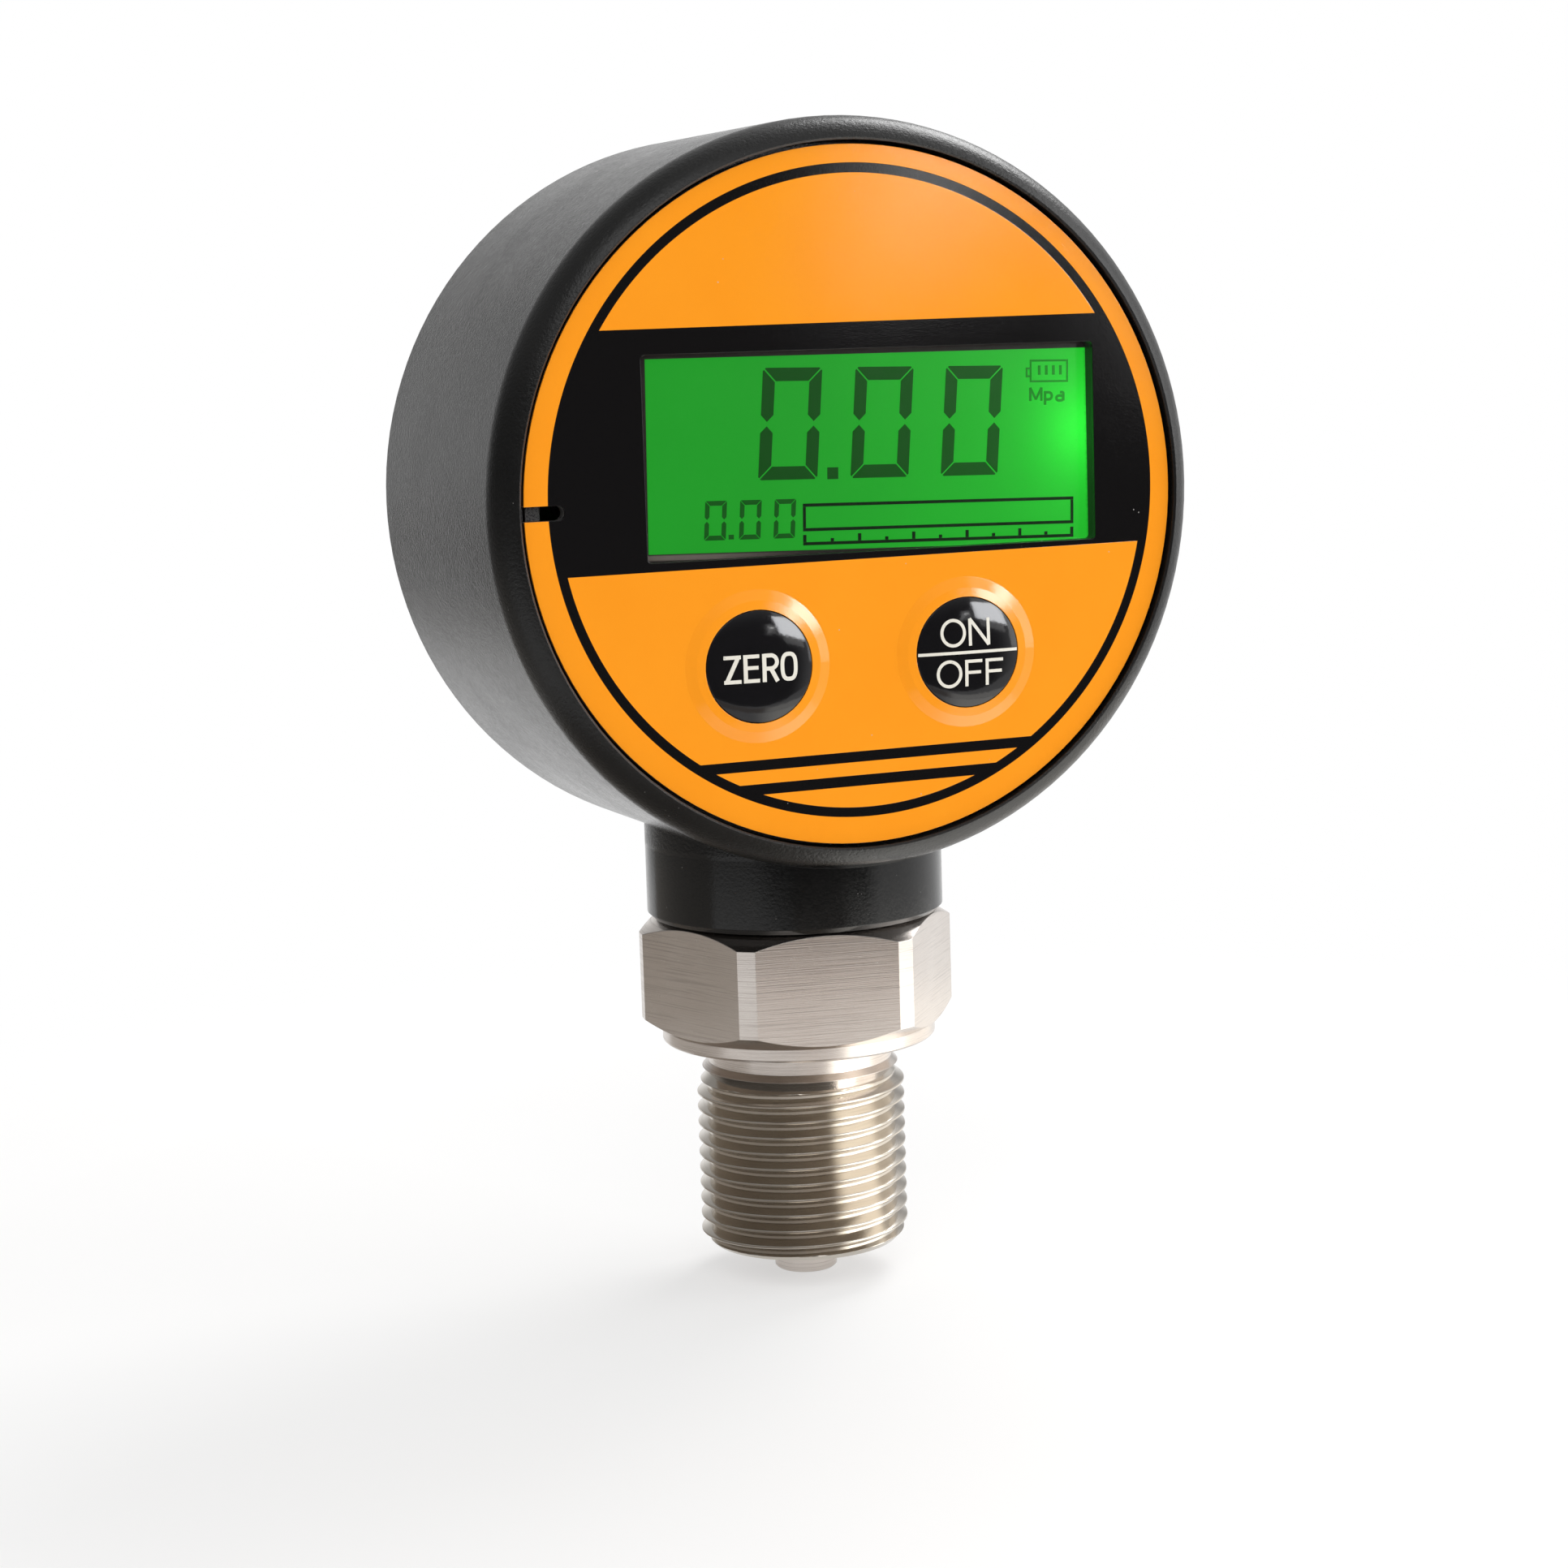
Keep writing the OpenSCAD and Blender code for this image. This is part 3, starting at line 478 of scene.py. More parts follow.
def boardFinish(look):
    # circuit board: green mask, with raised tracks, rows of tinned holes and a bare tan edge
    f = Finish("boardGreen")
    spot = f.place((0, 0, dialHeight))
    x, y, z = f.split(spot)
    cell = f.cells(f.join(x + 1.5 * f.noise(spot, 0.25), 0.0, z), 0.5)
    track = abs(((x + z) * 0.42 + cell * 0.9).fraction() - 0.5).below(0.10, 0.04)
    across = (x / look["pitch"] + 0.5).fraction() - 0.5
    up = (z / look["pitch"] + 0.5).fraction() - 0.5
    away = across.hypot(up)
    row = f.noise(f.scaled(spot, (0.1, 0.0, 0.1)), 1.0, 1).above(0.52, 0.02)
    pad = away.below(look["pad"], 0.03) * row
    hole = away.below(look["bore"], 0.03) * row
    side = y.between(*look["sides"], 0.02)
    colour = f.mix(track, look["mask"], look["track"])
    for share, tone in ((pad, "tin"), (hole, "hole"), (side, "edge")):
        colour = f.mix(share, colour, look[tone])
    return f.surface({"Base Color": colour, "Roughness": 0.34 + 0.2 * side,
                      "Metallic": pad * (1 - hole) * (1 - side),
                      "Normal": f.bump(track * 0.6 + pad * 0.4, look["relief"])})


dress(boardFinish(boardLook), "circuit_board")

switchLook = {"steel": (0.6, 0.6, 0.6), "bright": (0.75, 0.75, 0.74), "stem": (0.015, 0.015, 0.016),
              "stemRadius": 1.9}


def switchFinish(name, look):
    # tact switch: bright pressed shell round a black stem
    f = Finish(name)
    spot = f.place()
    x, y, z = f.split(spot)
    middle = middleOf(name)
    stem = (x - middle[0]).hypot(z - middle[1]).below(look["stemRadius"], 0.05)
    grain = f.noise(f.scaled(spot, (6.0, 1.0, 1.0)), 1.0, 3)
    return f.surface({"Base Color": f.mix(stem, f.mix(grain, look["steel"], look["bright"]), look["stem"]),
                      "Metallic": 1 - stem, "Roughness": 0.3 + 0.1 * grain,
                      "Normal": f.bump(grain, 0.004, 0.05)})


for name in ("zero_switch", "power_switch"):
    dress(switchFinish(name, switchLook), name)


def leadFinish():
    # red wire covering, glossy soft plastic with a faint cloud in its colour
    f = Finish("wireRed")
    spot = f.place()
    cloud = f.noise(spot, 1.2, 2)
    return f.surface({"Base Color": f.mix(cloud, (0.50, 0.012, 0.012), (0.62, 0.03, 0.02)),
                      "Roughness": 0.32 + 0.1 * cloud, "Coat Weight": 0.2,
                      "Normal": f.bump(f.noise(spot, 5.0), 0.01)})


dress(leadFinish(), "sensor_lead")

cellLook = {"bare": (1.1, 1.6), "collar": (11.0, 11.5), "copper": (0.55, 0.25, 0.10),
            "dark": (0.018, 0.018, 0.02), "collarTone": (0.75, 0.72, 0.66), "scuffTone": (0.5, 0.5, 0.5),
            "metal": (0.68, 0.67, 0.65)}


def cellFinish(name, look):
    # dry cell: printed sleeve with a dark and a coppery part, and bare bright metal at both ends
    f = Finish(name + "Sleeve")
    low, high = (corner.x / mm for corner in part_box(name))
    spot = f.place()
    x, y, z = f.split(spot)
    bare = 1 - x.between(low + look["bare"][0], high - look["bare"][1], 0.04)
    start, end = look["collar"]
    collar = x.between(low + start, low + end, 0.05)
    dark = x.above(low + start + 0.2, 0.05)
    scuff = f.noise(f.scaled(spot, (0.4, 2.0, 2.0)), 1.0, 4)
    colour = f.mix(collar, f.mix(dark, look["copper"], look["dark"]), look["collarTone"])
    colour = f.mix(scuff.above(0.66, 0.08) * 0.2, colour, look["scuffTone"])
    return f.surface({"Base Color": f.mix(bare, colour, look["metal"]),
                      "Metallic": bare.larger((1 - dark) * 0.8).larger(collar),
                      "Roughness": 0.26 + 0.12 * scuff, "Normal": f.bump(scuff, 0.004, 0.05)})


for name in ("upper_cell", "lower_cell"):
    dress(cellFinish(name, cellLook), name)
print("inner parts finished")


def newPiece(name, points, faces, finish):
    # an object at the origin, from points in mm and rows of point numbers
    mesh = bpy.data.meshes.new(name)
    mesh.from_pydata((np.asarray(points) * mm).tolist(), [], [list(face) for face in faces])
    mesh.materials.append(finish.owner)
    mesh.update()
    piece = bpy.data.objects.new(name, mesh)
    bpy.context.scene.collection.objects.link(piece)
    return piece


def carry(piece, body):
    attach(piece, body)


def mergeSmooth(piece, look):
    # merges points that fall together, which takes away empty faces, and shades smooth up to an angle
    mesh = piece.data
    work = bmesh.new()
    work.from_mesh(mesh)
    bmesh.ops.remove_doubles(work, verts=work.verts, dist=look["merge"] * mm)
    bmesh.ops.dissolve_degenerate(work, edges=work.edges, dist=look["least"] * mm)
    work.to_mesh(mesh)
    work.free()
    mesh.polygons.foreach_set("use_smooth", [True] * len(mesh.polygons))
    mesh.set_sharp_from_angle(angle=math.radians(look["sharp"]))


def gridFaces(rows, columns, wrapRows=False, wrapColumns=False):
    # the four-sided faces of a grid of points, row by row; a wrapped side joins its end to its start
    i = np.arange(rows if wrapRows else rows - 1)[:, None]
    j = np.arange(columns if wrapColumns else columns - 1)[None, :]
    up = (i + 1) % rows
    side = (j + 1) % columns
    corners = [i * columns + j, i * columns + side, up * columns + side, up * columns + j]
    return np.stack([corner + 0 * (i + j) for corner in corners], -1).reshape(-1, 4)


# the port thread: a sixty-degree screw thread as one closed sleeve round the fitting's core, in mm;
# the phase turns it, in pitches, and points nearer than the merge become one
threadLook = {"pitch": 1.5, "crest": 10.0, "root": 9.08, "crestFlat": 0.19, "rootFlat": 0.25,
              "top": -3.3, "relief": 8.85, "bottom": -19.99, "tip": 8.99, "bore": 8.6, "stub": -20.0,
              "phase": 1.667, "around": 144, "perPitch": 24, "merge": 0.002, "least": 0.0001, "sharp": 20}


def threadProfile(s, look):
    # the radius over one pitch, s from 0 to 1: flat crest, straight flank, flat root, straight flank
    crest, root = look["crestFlat"] / 2, look["rootFlat"] / 2
    near = np.abs((s + 0.5) % 1.0 - 0.5) * look["pitch"]
    run = (near - crest) / (look["pitch"] / 2 - crest - root)
    return look["crest"] - (look["crest"] - look["root"]) * np.clip(run, 0, 1)


def threadPoints(look):
    # rows climb s pitches and columns go round by the share a of a turn: the height is the bottom plus
    # s + a - phase pitches, held between bottom and top, and the radius is the least of the profile at s
    # and the bevels at both ends
    turns = int((look["top"] - look["bottom"]) / look["pitch"]) + 3
    s = (np.arange(turns * look["perPitch"] + 1) / look["perPitch"])[:, None]
    a = (np.arange(look["around"]) / look["around"])[None, :]
    z = np.clip(look["bottom"] + (s + a - look["phase"]) * look["pitch"], look["bottom"], look["top"])
    radius = np.minimum(threadProfile(s, look), look["relief"] + (look["top"] - z))
    radius = np.minimum(radius, look["tip"] + (z - look["bottom"]))
    return np.stack([radius * np.cos(2 * math.pi * a), radius * np.sin(2 * math.pi * a), z], -1)


def threadFaces(rows, look):
    # the grid's faces, and the seam, where the last column meets the first one a pitch further up
    around = look["around"]
    last = around - 1
    k = np.arange(rows - 1 - look["perPitch"])
    up = k + look["perPitch"]
    seam = [k * around + last, up * around, (up + 1) * around, (k + 1) * around + last]
    return np.concatenate([gridFaces(rows, around), np.stack(seam, -1)])


def threadSleeve(look):
    # the thread, closed by level rings: each is its radius times the cosine and sine of the angle
    outer = threadPoints(look)
    rows, around = outer.shape[:2]
    angle = 2 * math.pi * np.arange(around) / around
    rings = [(look["tip"], look["bottom"]), (look["bore"], look["bottom"]),
             (look["bore"], look["top"]), (look["relief"], look["top"])]
    inner = [np.column_stack([r * np.cos(angle), r * np.sin(angle), 0 * angle + z]) for r, z in rings]
    innerFaces = gridFaces(len(rings), around, wrapColumns=True)[:, ::-1] + rows * around
    return (np.concatenate([outer.reshape(-1, 3)] + inner),
            np.concatenate([threadFaces(rows, look), innerFaces]))


def coreShape(look):
    # the fitting's own mesh; the points of its plain stub under the thread are drawn in to the relief's
    # radius: x and y times that radius over their own
    source = nodes["fitting"].data
    points = np.zeros(len(source.vertices) * 3)
    source.vertices.foreach_get("co", points)
    points = points.reshape(-1, 3) / mm
    corners = np.zeros(len(source.loops), int)
    source.loops.foreach_get("vertex_index", corners)
    radius = np.hypot(points[:, 0], points[:, 1])
    height = points[:, 2]
    hidden = (height > look["stub"] - 0.001) & (height < look["top"] - 0.001)
    hidden &= radius > look["relief"] + 0.01
    points[:, :2] *= np.where(hidden, look["relief"] / np.maximum(radius, 1e-6), 1.0)[:, None]
    return points, corners.reshape(-1, 3)


portThreadPiece = newPiece("portThread", *threadSleeve(threadLook), threadSteel)
mergeSmooth(portThreadPiece, threadLook)
carry(portThreadPiece, "case")
corePiece = newPiece("fittingCore", *coreShape(threadLook), stainless)
mergeSmooth(corePiece, threadLook)
carry(corePiece, "case")
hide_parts("fitting")
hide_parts("fitting")
print("fitting and thread made")

# the display's marks lie on the glass, from back to front, and all are turned about the window's centre
marks = {"centre": (1.7, 56.2), "turn": -1.25, "front": -17.385, "back": -17.362, "inset": 0.004}


def displayPlace(points):
    # a turn of the (u, v) points about the window's centre, then a shift to the dial's (x, z)
    c, s = math.cos(math.radians(marks["turn"])), math.sin(math.radians(marks["turn"]))
    u, v = np.asarray(points, float).T
    return np.column_stack([marks["centre"][0] + u * c - v * s, marks["centre"][1] + u * s + v * c])


def anticlockwise(outline):
    # turned round where the sum of x times the next z, less z times the next x, isn't positive
    x, z = outline.T
    area = np.sum(x * np.roll(z, -1) - np.roll(x, -1) * z)
    return outline if area > 0 else outline[::-1]


def prisms(outlines, front, back):
    # each closed outline in (x, z), anticlockwise to the reader, carried straight back along y
    points, faces, count = [], [], 0
    for outline in outlines:
        n = len(outline)
        i = np.arange(n)
        j = np.roll(i, -1)
        ends = np.zeros((2, n, 3))
        ends[:, :, [0, 2]] = outline
        ends[0, :, 1] = front
        ends[1, :, 1] = back
        points.append(ends.reshape(-1, 3))
        faces += [count + i, count + n + i[::-1]]
        faces += list(count + np.stack([i, n + i, n + j, j], -1))
        count += 2 * n
    return np.concatenate(points), faces


def noughtBars(w, h, thick, middle, gap, chamfer, rest):
    # the six lit bars of a nought in a w by h cell: two level bars and four uprights; the ends are
    # mitred with a gap, outer corners cut off, and the uprights come to points beside the middle
    t, c, d = thick, chamfer, gap * math.sqrt(0.5)
    top = np.array([(c, h), ((c + d) / 2, h - (c - d) / 2), (t + d, h - t), (w - t - d, h - t),
                    (w - (c + d) / 2, h - (c - d) / 2), (w - c, h)])
    upper = np.array([((c - d) / 2, h - (c + d) / 2), (0, h - c), (0, middle + rest + t / 2),
                      (t / 2, middle + rest), (t, middle + rest + t / 2), (t, h - t - d)])
    lower = np.array([((c - d) / 2, (c + d) / 2), (t, t + d), (t, middle - rest - t / 2),
                      (t / 2, middle - rest), (0, middle - rest - t / 2), (0, c)])
    return [top, upper, upper * (-1, 1) + (w, 0), top * (1, -1) + (0, h), lower, lower * (-1, 1) + (w, 0)]


def noughts(look):
    # a nought at each centre, leaning by the slant times the height above its middle
    low, high, w = look["low"], look["high"], look["w"]
    bars = noughtBars(w, high - low, look["thick"], look["middle"] - low, look["gap"], look["chamfer"],
                      look["rest"])
    found = []
    for centre in look["centres"]:
        for bar in bars:
            bar = bar + (centre - w / 2, low)
            bar[:, 0] += look["slant"] * (bar[:, 1] - (low + high) / 2)
            found.append(anticlockwise(displayPlace(bar)))
    return found


def block(left, right, low, high):
    # a rectangle, drawn in by the inset so that neighbours share no corner
    inset = marks["inset"]
    left, right, low, high = left + inset, right - inset, low + inset, high - inset
    return anticlockwise(displayPlace([(left, low), (right, low), (right, high), (left, high)]))


def frameBlocks(look):
    # four lines round a box
    line, left, right, low, high = (look[name] for name in ("line", "left", "right", "low", "high"))
    return [block(left, right, high - line, high), block(left, right, low, low + line),
            block(left, left + line, low + line, high - line),
            block(right - line, right, low + line, high - line)]


digitLook = {"centres": (-7.47, 1.31, 10.09), "w": 5.6, "low": -2.5, "high": 7.3, "thick": 1.17,
             "slant": 0.06, "gap": 0.13, "chamfer": 0.27, "rest": 0.195, "middle": 2.4,
             "point": (-4.0, -2.95, -2.55, -1.5)}
smallLook = {"centres": (-14.60, -11.34, -8.09), "w": 2.02, "low": -7.65, "high": -4.2, "thick": 0.42,
             "slant": 0.05, "gap": 0.06, "chamfer": 0.10, "rest": 0.08, "middle": -5.92,
             "point": (-13.40, -12.90, -7.61, -7.19)}
barLook = {"left": -6.37, "right": 20.27, "low": -7.1, "high": -4.64, "line": 0.29,
           "base": -8.34, "major": -7.4, "minor": -7.75, "parts": 5, "tick": 0.32}
iconLook = {"left": 15.86, "right": 19.72, "low": 5.75, "high": 7.8, "line": 0.19,
            "nub": (15.46, 6.2, 7.1), "bars": (16.68, 17.39, 18.10, 18.81), "bar": (0.28, 6.42, 7.27)}


def barBlocks(look):
    # the bar graph's frame, and a scale under it with a long tick at each part and a short one between
    left, right, base, line = look["left"], look["right"], look["base"], look["line"]
    found = frameBlocks(look) + [block(left, right, base, base + line)]
    half = (right - left - look["tick"]) / look["parts"] / 2
    for step in range(2 * look["parts"] + 1):
        at = left + step * half
        found.append(block(at, at + look["tick"], base + line, look["minor" if step % 2 else "major"]))
    return found


def iconBlocks(look):
    # the battery sign: its frame, the nub at its left and its bars
    left, line = look["left"], look["line"]
    nub, low, high = look["nub"]
    wide, barLow, barHigh = look["bar"]
    found = [block(nub, nub + line, low, high), block(nub + line, left, low, low + line),
             block(nub + line, left, high - line, high)]
    return frameBlocks(look) + found + [block(at, at + wide, barLow, barHigh) for at in look["bars"]]


def strokeSides(path, width, closed):
    # the two sides of a path, each half the width away along its mitred normal
    path = np.asarray(path, float)
    ahead = np.roll(path, -1, 0) - path
    if not closed:
        ahead[-1] = ahead[-2]
    ahead /= np.linalg.norm(ahead, axis=1)[:, None]
    behind = np.roll(ahead, 1, 0)
    if not closed:
        behind[0] = ahead[0]
    one, two = ((-1, 1) * way[:, ::-1] for way in (ahead, behind))
    mitre = (one + two) / (1 + np.sum(one * two, 1))[:, None]
    return path + mitre * width / 2, path - mitre * width / 2


def strokes(paths, surface, lift, sink, layer):
    # a rectangle of the stroke's width, from lift before the surface to sink behind it, carried along
    # each path; each stroke lies a layer higher than the last, so that no two faces fall together
    points, faces, count = [], [], 0
    for order, (path, width, closed) in enumerate(paths):
        left, right = strokeSides(path, width, closed)
        n = len(left)
        ring = np.zeros((n, 4, 3))
        rise = -lift - layer * order
        for k, (side, off) in enumerate(((left, rise), (right, rise), (right, sink), (left, sink))):
            ring[:, k, [0, 2]] = side
            ring[:, k, 1] = surface(side[:, 0], side[:, 1]) + off
        points.append(ring.reshape(-1, 3))
        faces += list(gridFaces(n, 4, wrapRows=closed, wrapColumns=True) + count)
        if not closed:
            faces += [count + np.array([3, 2, 1, 0]), count + 4 * (n - 1) + np.arange(4)]
        count += 4 * n
    return np.concatenate(points), faces


def line(start, end, step=0.3):
    # points evenly along a straight line: start times 1 - share, plus end times share
    count = max(2, int(math.dist(start, end) / step) + 1)
    share = np.linspace(0, 1, count)[:, None]
    return np.array(start) * (1 - share) + np.array(end) * share


def loop(w, h, power, count=40):
    # a superellipse: both coordinates are the half sizes times cosine and sine to a power
    a = np.linspace(0, 2 * math.pi, count, endpoint=False)
    c, s = np.cos(a), np.sin(a)
    return np.column_stack([np.sign(c) * np.abs(c) ** power * w / 2, np.sign(s) * np.abs(s) ** power * h / 2])


def bowl(left, right, low, high, count=14):
    # two level runs joined on the right by a half ellipse: its radii times cosine and sine
    a = np.linspace(math.pi / 2, -math.pi / 2, count)
    tall = (high - low) / 2
    wide = min(tall, (right - left) * 0.6)
    turn = np.column_stack([right - wide + wide * np.cos(a), low + tall + tall * np.sin(a)])
    return np.concatenate([[(left, high)], turn, [(left, low)]])


def letter(kind, at, w, h, upright, level):
    # strokes of one plain letter in a w by h cell round a point: each a path, a width and if it closes
    left, right, low, high = -w / 2, w / 2, -h / 2, h / 2
    u, v = upright / 2, level / 2
    curve = (upright + level) / 2
    stem = (line((left + u, low), (left + u, high)), upright)
    post = (line((right - u, low), (right - u, high)), upright)
    arm = (line((left + u, high - v), (right, high - v)), level)
    oval = loop(w - upright, h - level, 1.0 if w > 0.9 * h else 0.72)
    bars = {
        "Z": [(line((left, high - v), (right, high - v)), level),
              (line((left, low + v), (right, low + v)), level),
              (line((right - u * 1.3, high - v), (left + u * 1.3, low + v)), upright)],
        "E": [stem, arm, (line((left + u, 0.03 * h), (right - 0.07 * w, 0.03 * h)), level),
              (line((left + u, low + v), (right, low + v)), level)],
        "F": [stem, arm, (line((left + u, 0.02 * h), (right - 0.08 * w, 0.02 * h)), level)],
        "R": [stem, (bowl(left + u, right - u * 1.1, -0.03 * h, high - v), curve),
              (line((left + 0.50 * w, -0.03 * h), (right - u * 0.9, low)), upright)],
        "N": [stem, post, (line((left + u * 0.9, high), (right - u * 0.9, low)), upright)],
        "M": [stem, post, (line((left + u, high), (0, low + 0.1 * h)), upright * 0.9),
              (line((right - u, high), (0, low + 0.1 * h)), upright * 0.9)],
        "O": [(oval, curve, True)],
        "p": [(line((left + u, low - 0.42 * h), (left + u, high)), upright),
              (bowl(left + u, right - u, low + v, high - v), curve)],
        "a": [(line((right - u, low), (right - u, high - 0.2 * h)), upright),
              (bowl(0, right - u, high - 0.45 * h, high - v)[:9], level),
              (loop(w - upright, 0.52 * h, 0.85, 20) + (-u * 0.2, low + 0.26 * h), level, True)]}
    return [(path + at, width, bool(closed)) for path, width, *closed in bars[kind]]


# the unit's letters: each its left edge, width and height
unitLook = {"letters": (("M", 15.8, 1.35, 1.2), ("p", 17.28, 0.92, 0.88), ("a", 18.45, 0.92, 0.88)),
            "base": 4.08, "stroke": 0.24, "lift": 0.02, "layer": 0.0007, "shade": 0.40}


def unitStrokes(look):
    found = []
    for kind, left, w, h in look["letters"]:
        middle = (left + w / 2, look["base"] + h / 2)
        for path, width, closed in letter(kind, middle, w, h, look["stroke"], look["stroke"]):
            found.append((displayPlace(path), width, closed))
    return found


def glassFace(x, z):
    # the level plane that the marks lie on
    return 0 * x + marks["back"]


def displayMark(name, shape, shade):
    carry(newPiece(name, *shape, litFinish(name + "Ink", displayLook, shade)), "front")


markSets = (("displayDigits", noughts(digitLook) + [block(*digitLook["point"])], 0.20),
            ("displaySmallDigits", noughts(smallLook) + [block(*smallLook["point"])], 0.26),
            ("displayBar", barBlocks(barLook), 0.04), ("displayIcons", iconBlocks(iconLook), 0.42))
for name, outlines, shade in markSets:
    displayMark(name, prisms(outlines, marks["front"], marks["back"]), shade)
unitShape = strokes(unitStrokes(unitLook), glassFace, unitLook["lift"], 0.0, unitLook["layer"])
displayMark("displayUnit", unitShape, unitLook["shade"])
print("display marks made")

# the lettering on the keys: each letter has its centre from the key's middle, its width and its height
keyMarks = {"crown": 61.4, "top": -19.4, "lift": 0.022, "sink": 0.04, "layer": 0.0015,
            "cream": (0.80, 0.77, 0.68), "thin": (0.72, 0.69, 0.60), "wearAndSlotLight": (0.3, 0.29, 0.26)}
zeroMarks = {"letters": (("Z", -2.59, -0.12, 1.60, 2.49), ("E", -0.82, -0.12, 1.50, 2.49),
                         ("R", 0.99, -0.12, 1.60, 2.49), ("O", 2.73, -0.12, 1.66, 2.55)),
             "upright": 0.38, "level": 0.33, "bars": ()}
powerMarks = {"letters": (("O", -1.45, 1.81, 2.50, 2.57), ("N", 1.12, 1.81, 2.12, 2.44),
                          ("O", -1.90, -1.88, 2.50, 2.53), ("F", 0.49, -1.88, 1.70, 2.40),
                          ("F", 2.56, -1.88, 1.77, 2.40)),
              "upright": 0.30, "level": 0.28, "bars": ((4.88, 0.27),)}


def creamFinish(look):
    # pad-printed cream ink, slightly uneven and a little worn
    f = Finish("keyCream")
    spot = f.place()
    fine = f.noise(spot, 6.0, 3)
    wear = f.noise(spot, 2.2, 4).above(0.70, 0.06)
    colour = f.mix(wear * 0.4, f.mix(fine, look["thin"], look["cream"]), look["wearAndSlotLight"])
    return f.surface({"Base Color": colour, "Roughness": 0.35 + 0.2 * fine, "Normal": f.bump(fine, 0.004)})


def keyLetters(side, look, ink):
    # the letters' strokes, and a level bar of a half length and a width through the middle
    middle = keyMiddles[side]
    paths = []
    for kind, x, z, w, h in look["letters"]:
        paths += letter(kind, (x, z), w, h, look["upright"], look["level"])
    paths += [(line((-half, 0), (half, 0)), width, False) for half, width in look["bars"]]
    paths = [(path + middle, width, closed) for path, width, closed in paths]

    def crown(x, z):
        # the key's face: a sphere's cap of the crown radius, highest at the key's middle
        away = (x - middle[0]) ** 2 + (z - middle[1]) ** 2
        return keyMarks["top"] + keyMarks["crown"] - np.sqrt(keyMarks["crown"] ** 2 - away)

    shape = strokes(paths, crown, keyMarks["lift"], keyMarks["sink"], keyMarks["layer"])
    carry(newPiece(side + "Letters", *shape, ink), side + "_button")


keyCream = creamFinish(keyMarks)
keyLetters("zero", zeroMarks, keyCream)
keyLetters("power", powerMarks, keyCream)
print("key lettering made")

# the floor, in mm; its shader works in metres: from near, where it shows itself, it fades to white
floorLook = {"reach": 2500, "front": -170, "under": 0.2, "colour": (0.90, 0.893, 0.886),
             "shadow": (0.88650, 0.879605, 0.87271), "near": 0.50, "fade": (0.1275, 0.075),
             "dim": (0.16, 0.155, 0.15), "left": (-0.25, 0.5), "beyond": (0.26, 0.14)}
floorLevel = cadBox[0].z / mm - floorLook["under"]


def floorFinish(look):
    # pale floor that fades to the white behind it, for the camera, mirrors and glass alike
    f = Finish("paleFloor")
    spot = f.add("TexCoord", output="Object")
    x, y, z = f.split(spot)
    away = x.hypot(y)
    colour = f.mix(f.noise(spot, 40.0, 3), look["shadow"], look["colour"])
    pale = f.add("BsdfPrincipled", None, {"Base Color": colour, "Roughness": 0.8, "Specular IOR Level": 0.2})
    camera, mirror, glass = f.rays()
    share = look["near"] + (1 - look["near"]) * away.above(*look["fade"])
    lit = f.blend(share * camera.larger(mirror).larger(glass), pale, f.emission((1, 1, 1)))
    # mirrors see the far table dim towards the left, as the room does behind it
    left = (x / away).below(*look["left"]) * away.above(*look["beyond"])
    lit = f.blend(mirror * left, lit, f.emission(look["dim"]))
    under = f.add("NewGeometry", output="Backfacing")
    return f.show(f.blend(under, lit, f.add("BsdfTransparent")))


reach, front = floorLook["reach"], floorLook["front"]
floorCorners = [(-reach, front, floorLevel), (reach, front, floorLevel), (reach, reach, floorLevel),
                (-reach, reach, floorLevel)]
floorPiece = newPiece("floor", floorCorners, [(0, 1, 2, 3)], floorFinish(floorLook))

# cards that only reflections see, in mm: grey and bright sectors that lie on the table round the foot, a
# low card that stands beyond them and a window; a turn runs between two azimuths, counted from the
# reader's side towards the right, and heights are over the floor
# the dark and grey sectors are painted shade: they darken the table in reflections at the object's front and
# left
sectors = {"darkLeft": {"turn": (-155, -20), "radii": (12, 91), "tone": (0.31, 0.275, 0.24)},
           "darkFront": {"turn": (-20, 40), "radii": (12, 86), "tone": (0.32, 0.28, 0.24)},
           "greyLeft": {"turn": (-155, -85), "radii": (104, 270), "tone": (0.36, 0.33, 0.295)}}
sectorHeight = 0.4
tables = {"brightTable": {"turn": (5, 90), "radii": (19, 138), "height": 0.6, "middle": 44,
                          "edge": (0.89, 0.13), "tone": (2.9, 2.85, 2.7)},
          "paleTable": {"turn": (40, 130), "radii": (36, 138), "height": 0.5, "middle": 84,
                        "edge": (0.80, 0.20), "tone": (1.45, 1.40, 1.32)}}
brightCard = {"radius": 140, "turn": (-22, 108), "heights": (0.3, 10), "edge": (43, 14),
              "dim": (0.70, 0.61, 0.55), "bright": (2.3, 2.25, 2.15)}
windowCard = {"radius": 1200, "turn": (27.8, 46), "heights": (158, 420), "tone": (13.0, 13.2, 13.6)}


def roundPoints(turn, radius, height, count=24):
    # points on a level arc: the radius times the sine and minus the cosine of the azimuth
    a = np.radians(np.linspace(*turn, count))
    return np.column_stack([radius * np.sin(a), -radius * np.cos(a), np.full(count, floorLevel + height)])


def arcCard(name, turn, edges, finish):
    # a card between two arcs, each a radius and a height
    rings = [roundPoints(turn, radius, height) for radius, height in edges]
    card = newPiece(name, np.concatenate(rings), gridFaces(2, len(rings[0])), finish)
    card.visible_camera = False
    card.visible_diffuse = False
    card.visible_shadow = False
    card.visible_transmission = False


def windowTone(look):
    f = Finish("windowTone")
    return f.show(f.emission(look["tone"]))


def brightCardTone(look):
    # light from dim to bright across an edge in x
    f = Finish("brightCard")
    x, y, z = f.split(f.place())
    return f.show(f.emission(f.mix(x.above(*look["edge"]), look["dim"], look["bright"])))


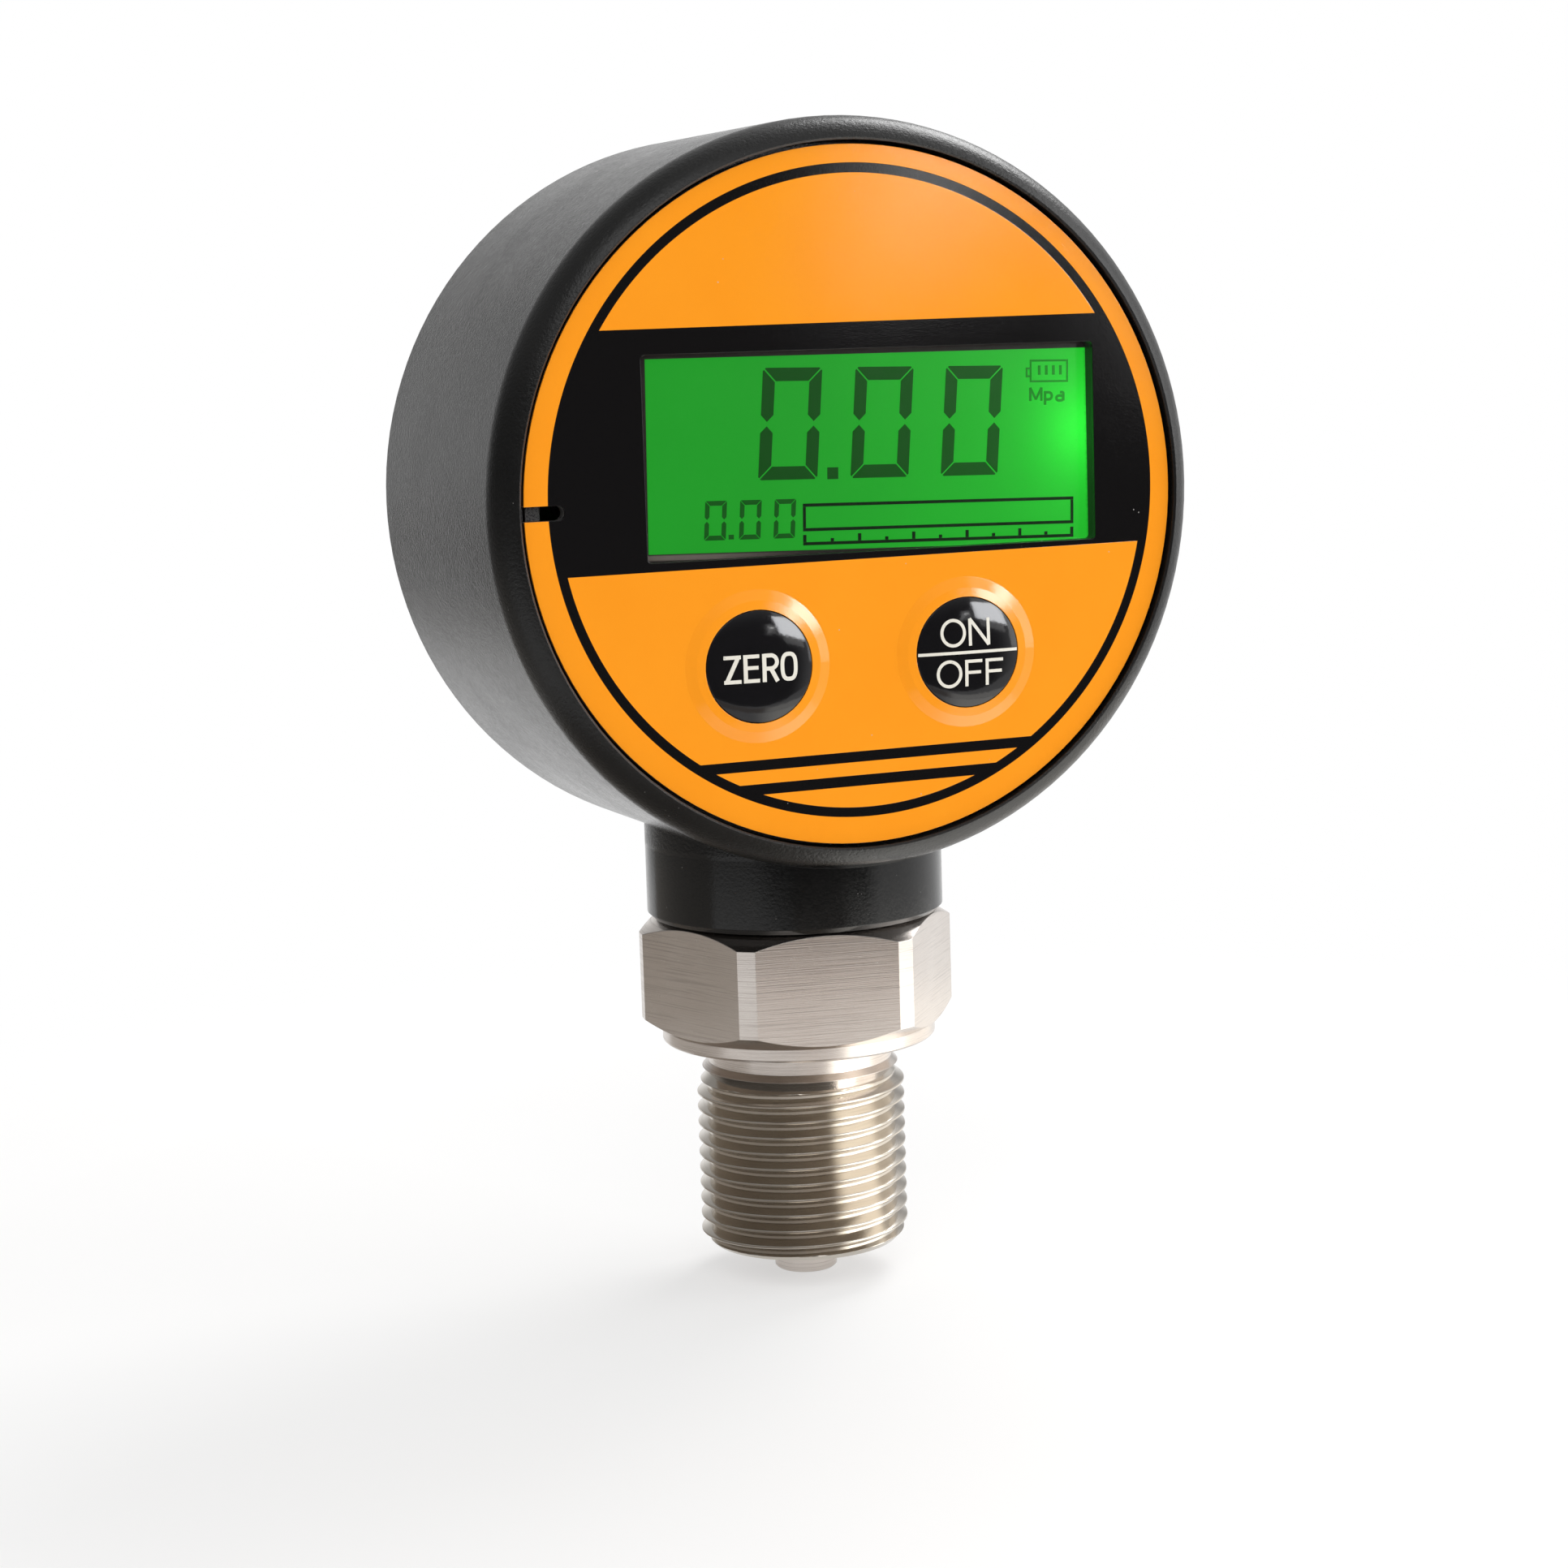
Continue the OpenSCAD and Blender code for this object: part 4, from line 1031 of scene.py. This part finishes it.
def tableTone(name, look):
    # even light that fades out at both sides of its sector
    f = Finish(name)
    x, y, z = f.split(f.place())
    a = math.radians(look["middle"])
    beside = (x * math.sin(a) - y * math.cos(a)) / x.hypot(y)
    return f.show(f.blend(beside.above(*look["edge"]), f.add("BsdfTransparent"), f.emission(look["tone"])))


for name, look, finish in (("windowCard", windowCard, windowTone(windowCard)),
                           ("brightCard", brightCard, brightCardTone(brightCard))):
    arcCard(name, look["turn"], [(look["radius"], height) for height in look["heights"]], finish)
for name, look in tables.items():
    edges = [(radius, look["height"]) for radius in look["radii"]]
    arcCard(name, look["turn"], edges, tableTone(name + "Tone", look))
for name, look in sectors.items():
    edges = [(radius, sectorHeight) for radius in look["radii"]]
    arcCard(name, look["turn"], edges, plainPlastic(name + "Tone", look["tone"], look["tone"], 0.8))

# the room, by the direction of a ray; an edge is its place and its soft width
roomLook = {"ambient": 0.66, "dark": 0.07, "behind": (0.74, 0.4), "upperLess": 0.40,
            "upperEdge": (0.20, 0.3), "left": 0.55, "leftEdge": (-0.05, 0.4), "right": 0.9,
            "rightEdge": (0.68, 0.3), "ceiling": 0.85, "ceilingEdge": (0.38, 0.5),
            "ceilingLeft": 0.35, "ceilingSide": (0.1, 0.9)}


def roomLight(look):
    # white behind the object, as the camera sees it; mirrors also show a dim room in front of it,
    # with a pale ceiling and a bright right side
    world = bpy.data.worlds.new("room")
    bpy.context.scene.world = world
    f = Finish("room", world)
    x, y, z = f.split(f.add("TexCoord", output="Generated"))
    flat = x.hypot(y)
    side = x / flat
    bright = (y / flat).above(*look["behind"]) * (1 - look["upperLess"] * z.above(*look["upperEdge"]))
    bright = bright * (look["left"] + (1 - look["left"]) * side.above(*look["leftEdge"]))
    bright = bright.larger(side.above(*look["rightEdge"]) * look["right"])
    ceiling = look["ceilingLeft"] + (1 - look["ceilingLeft"]) * x.above(*look["ceilingSide"])
    bright = bright.larger(z.above(*look["ceilingEdge"]) * ceiling * look["ceiling"])
    mirrored = look["dark"] + (1 - look["dark"]) * bright
    camera, mirror, glass = f.rays()
    seen = camera.larger(glass)
    value = seen + (1 - seen) * (mirror * mirrored + (1 - mirror) * look["ambient"])
    back = f.add("Background", None, {"Color": f.join(value, value, value), "Strength": 1.0})
    f.show(back, "OutputWorld")


roomLight(roomLook)

# the lamps, in metres and watts; all look at the same point, and a roll turns one about its own axis
aim = Vector((0, 0, 0.045))
lamps = {"rightWindow": {"at": (0.66, -0.30, 0.26), "size": (0.55, 0.60), "power": 2.2},
         "frontWindow": {"at": (0.44, -0.61, 0.20), "size": (0.19, 0.30), "power": 0.25},
         "glare": {"at": (0.252, -0.566, 0.114), "size": (0.04, 0.06), "power": 0.010},
         "glareSpot": {"at": (0.257, -0.564, 0.121), "size": (0.020, 0.011), "power": 0.0060},
         "glareFan": {"at": (0.243, -0.570, 0.100), "size": (0.014, 0.052), "power": 0.0030, "roll": -28},
         "fill": {"at": (-0.30, -0.75, 0.75), "size": (0.6, 0.6), "power": 2.3},
         "rearWindow": {"at": (0.46, 0.30, 0.64), "size": (0.40, 0.40), "power": 3.4}}
for name, lamp in lamps.items():
    data = bpy.data.lights.new(name, "AREA")
    data.shape = "RECTANGLE"
    data.size, data.size_y = lamp["size"]
    data.energy = lamp["power"]
    light = bpy.data.objects.new(name, data)
    light.location = lamp["at"]
    facing = (aim - light.location).to_track_quat("-Z", "Y")
    roll = Quaternion((0, 0, 1), math.radians(lamp.get("roll", 0)))
    light.rotation_euler = (facing @ roll).to_euler()
    bpy.context.scene.collection.objects.link(light)

# the camera stands low at the left: its place in mm and its turns about x, y and z in degrees
cameraLook = {"at": (-105.892, -273.793, 64.955), "turns": (82.09975, 1.81657, -21.2649),
              "lens": 71.327, "sensor": 36.0}
cameraData = bpy.data.cameras.new("camera")
cameraData.lens = cameraLook["lens"]
cameraData.sensor_width = cameraLook["sensor"]
cameraData.clip_start = 0.01
camera = bpy.data.objects.new("camera", cameraData)
camera.location = Vector(cameraLook["at"]) * mm
camera.rotation_euler = [math.radians(turn) for turn in cameraLook["turns"]]
bpy.context.scene.collection.objects.link(camera)
bpy.context.scene.camera = camera
bpy.context.scene.view_settings.view_transform = "Standard"
print("floor, light and camera set")
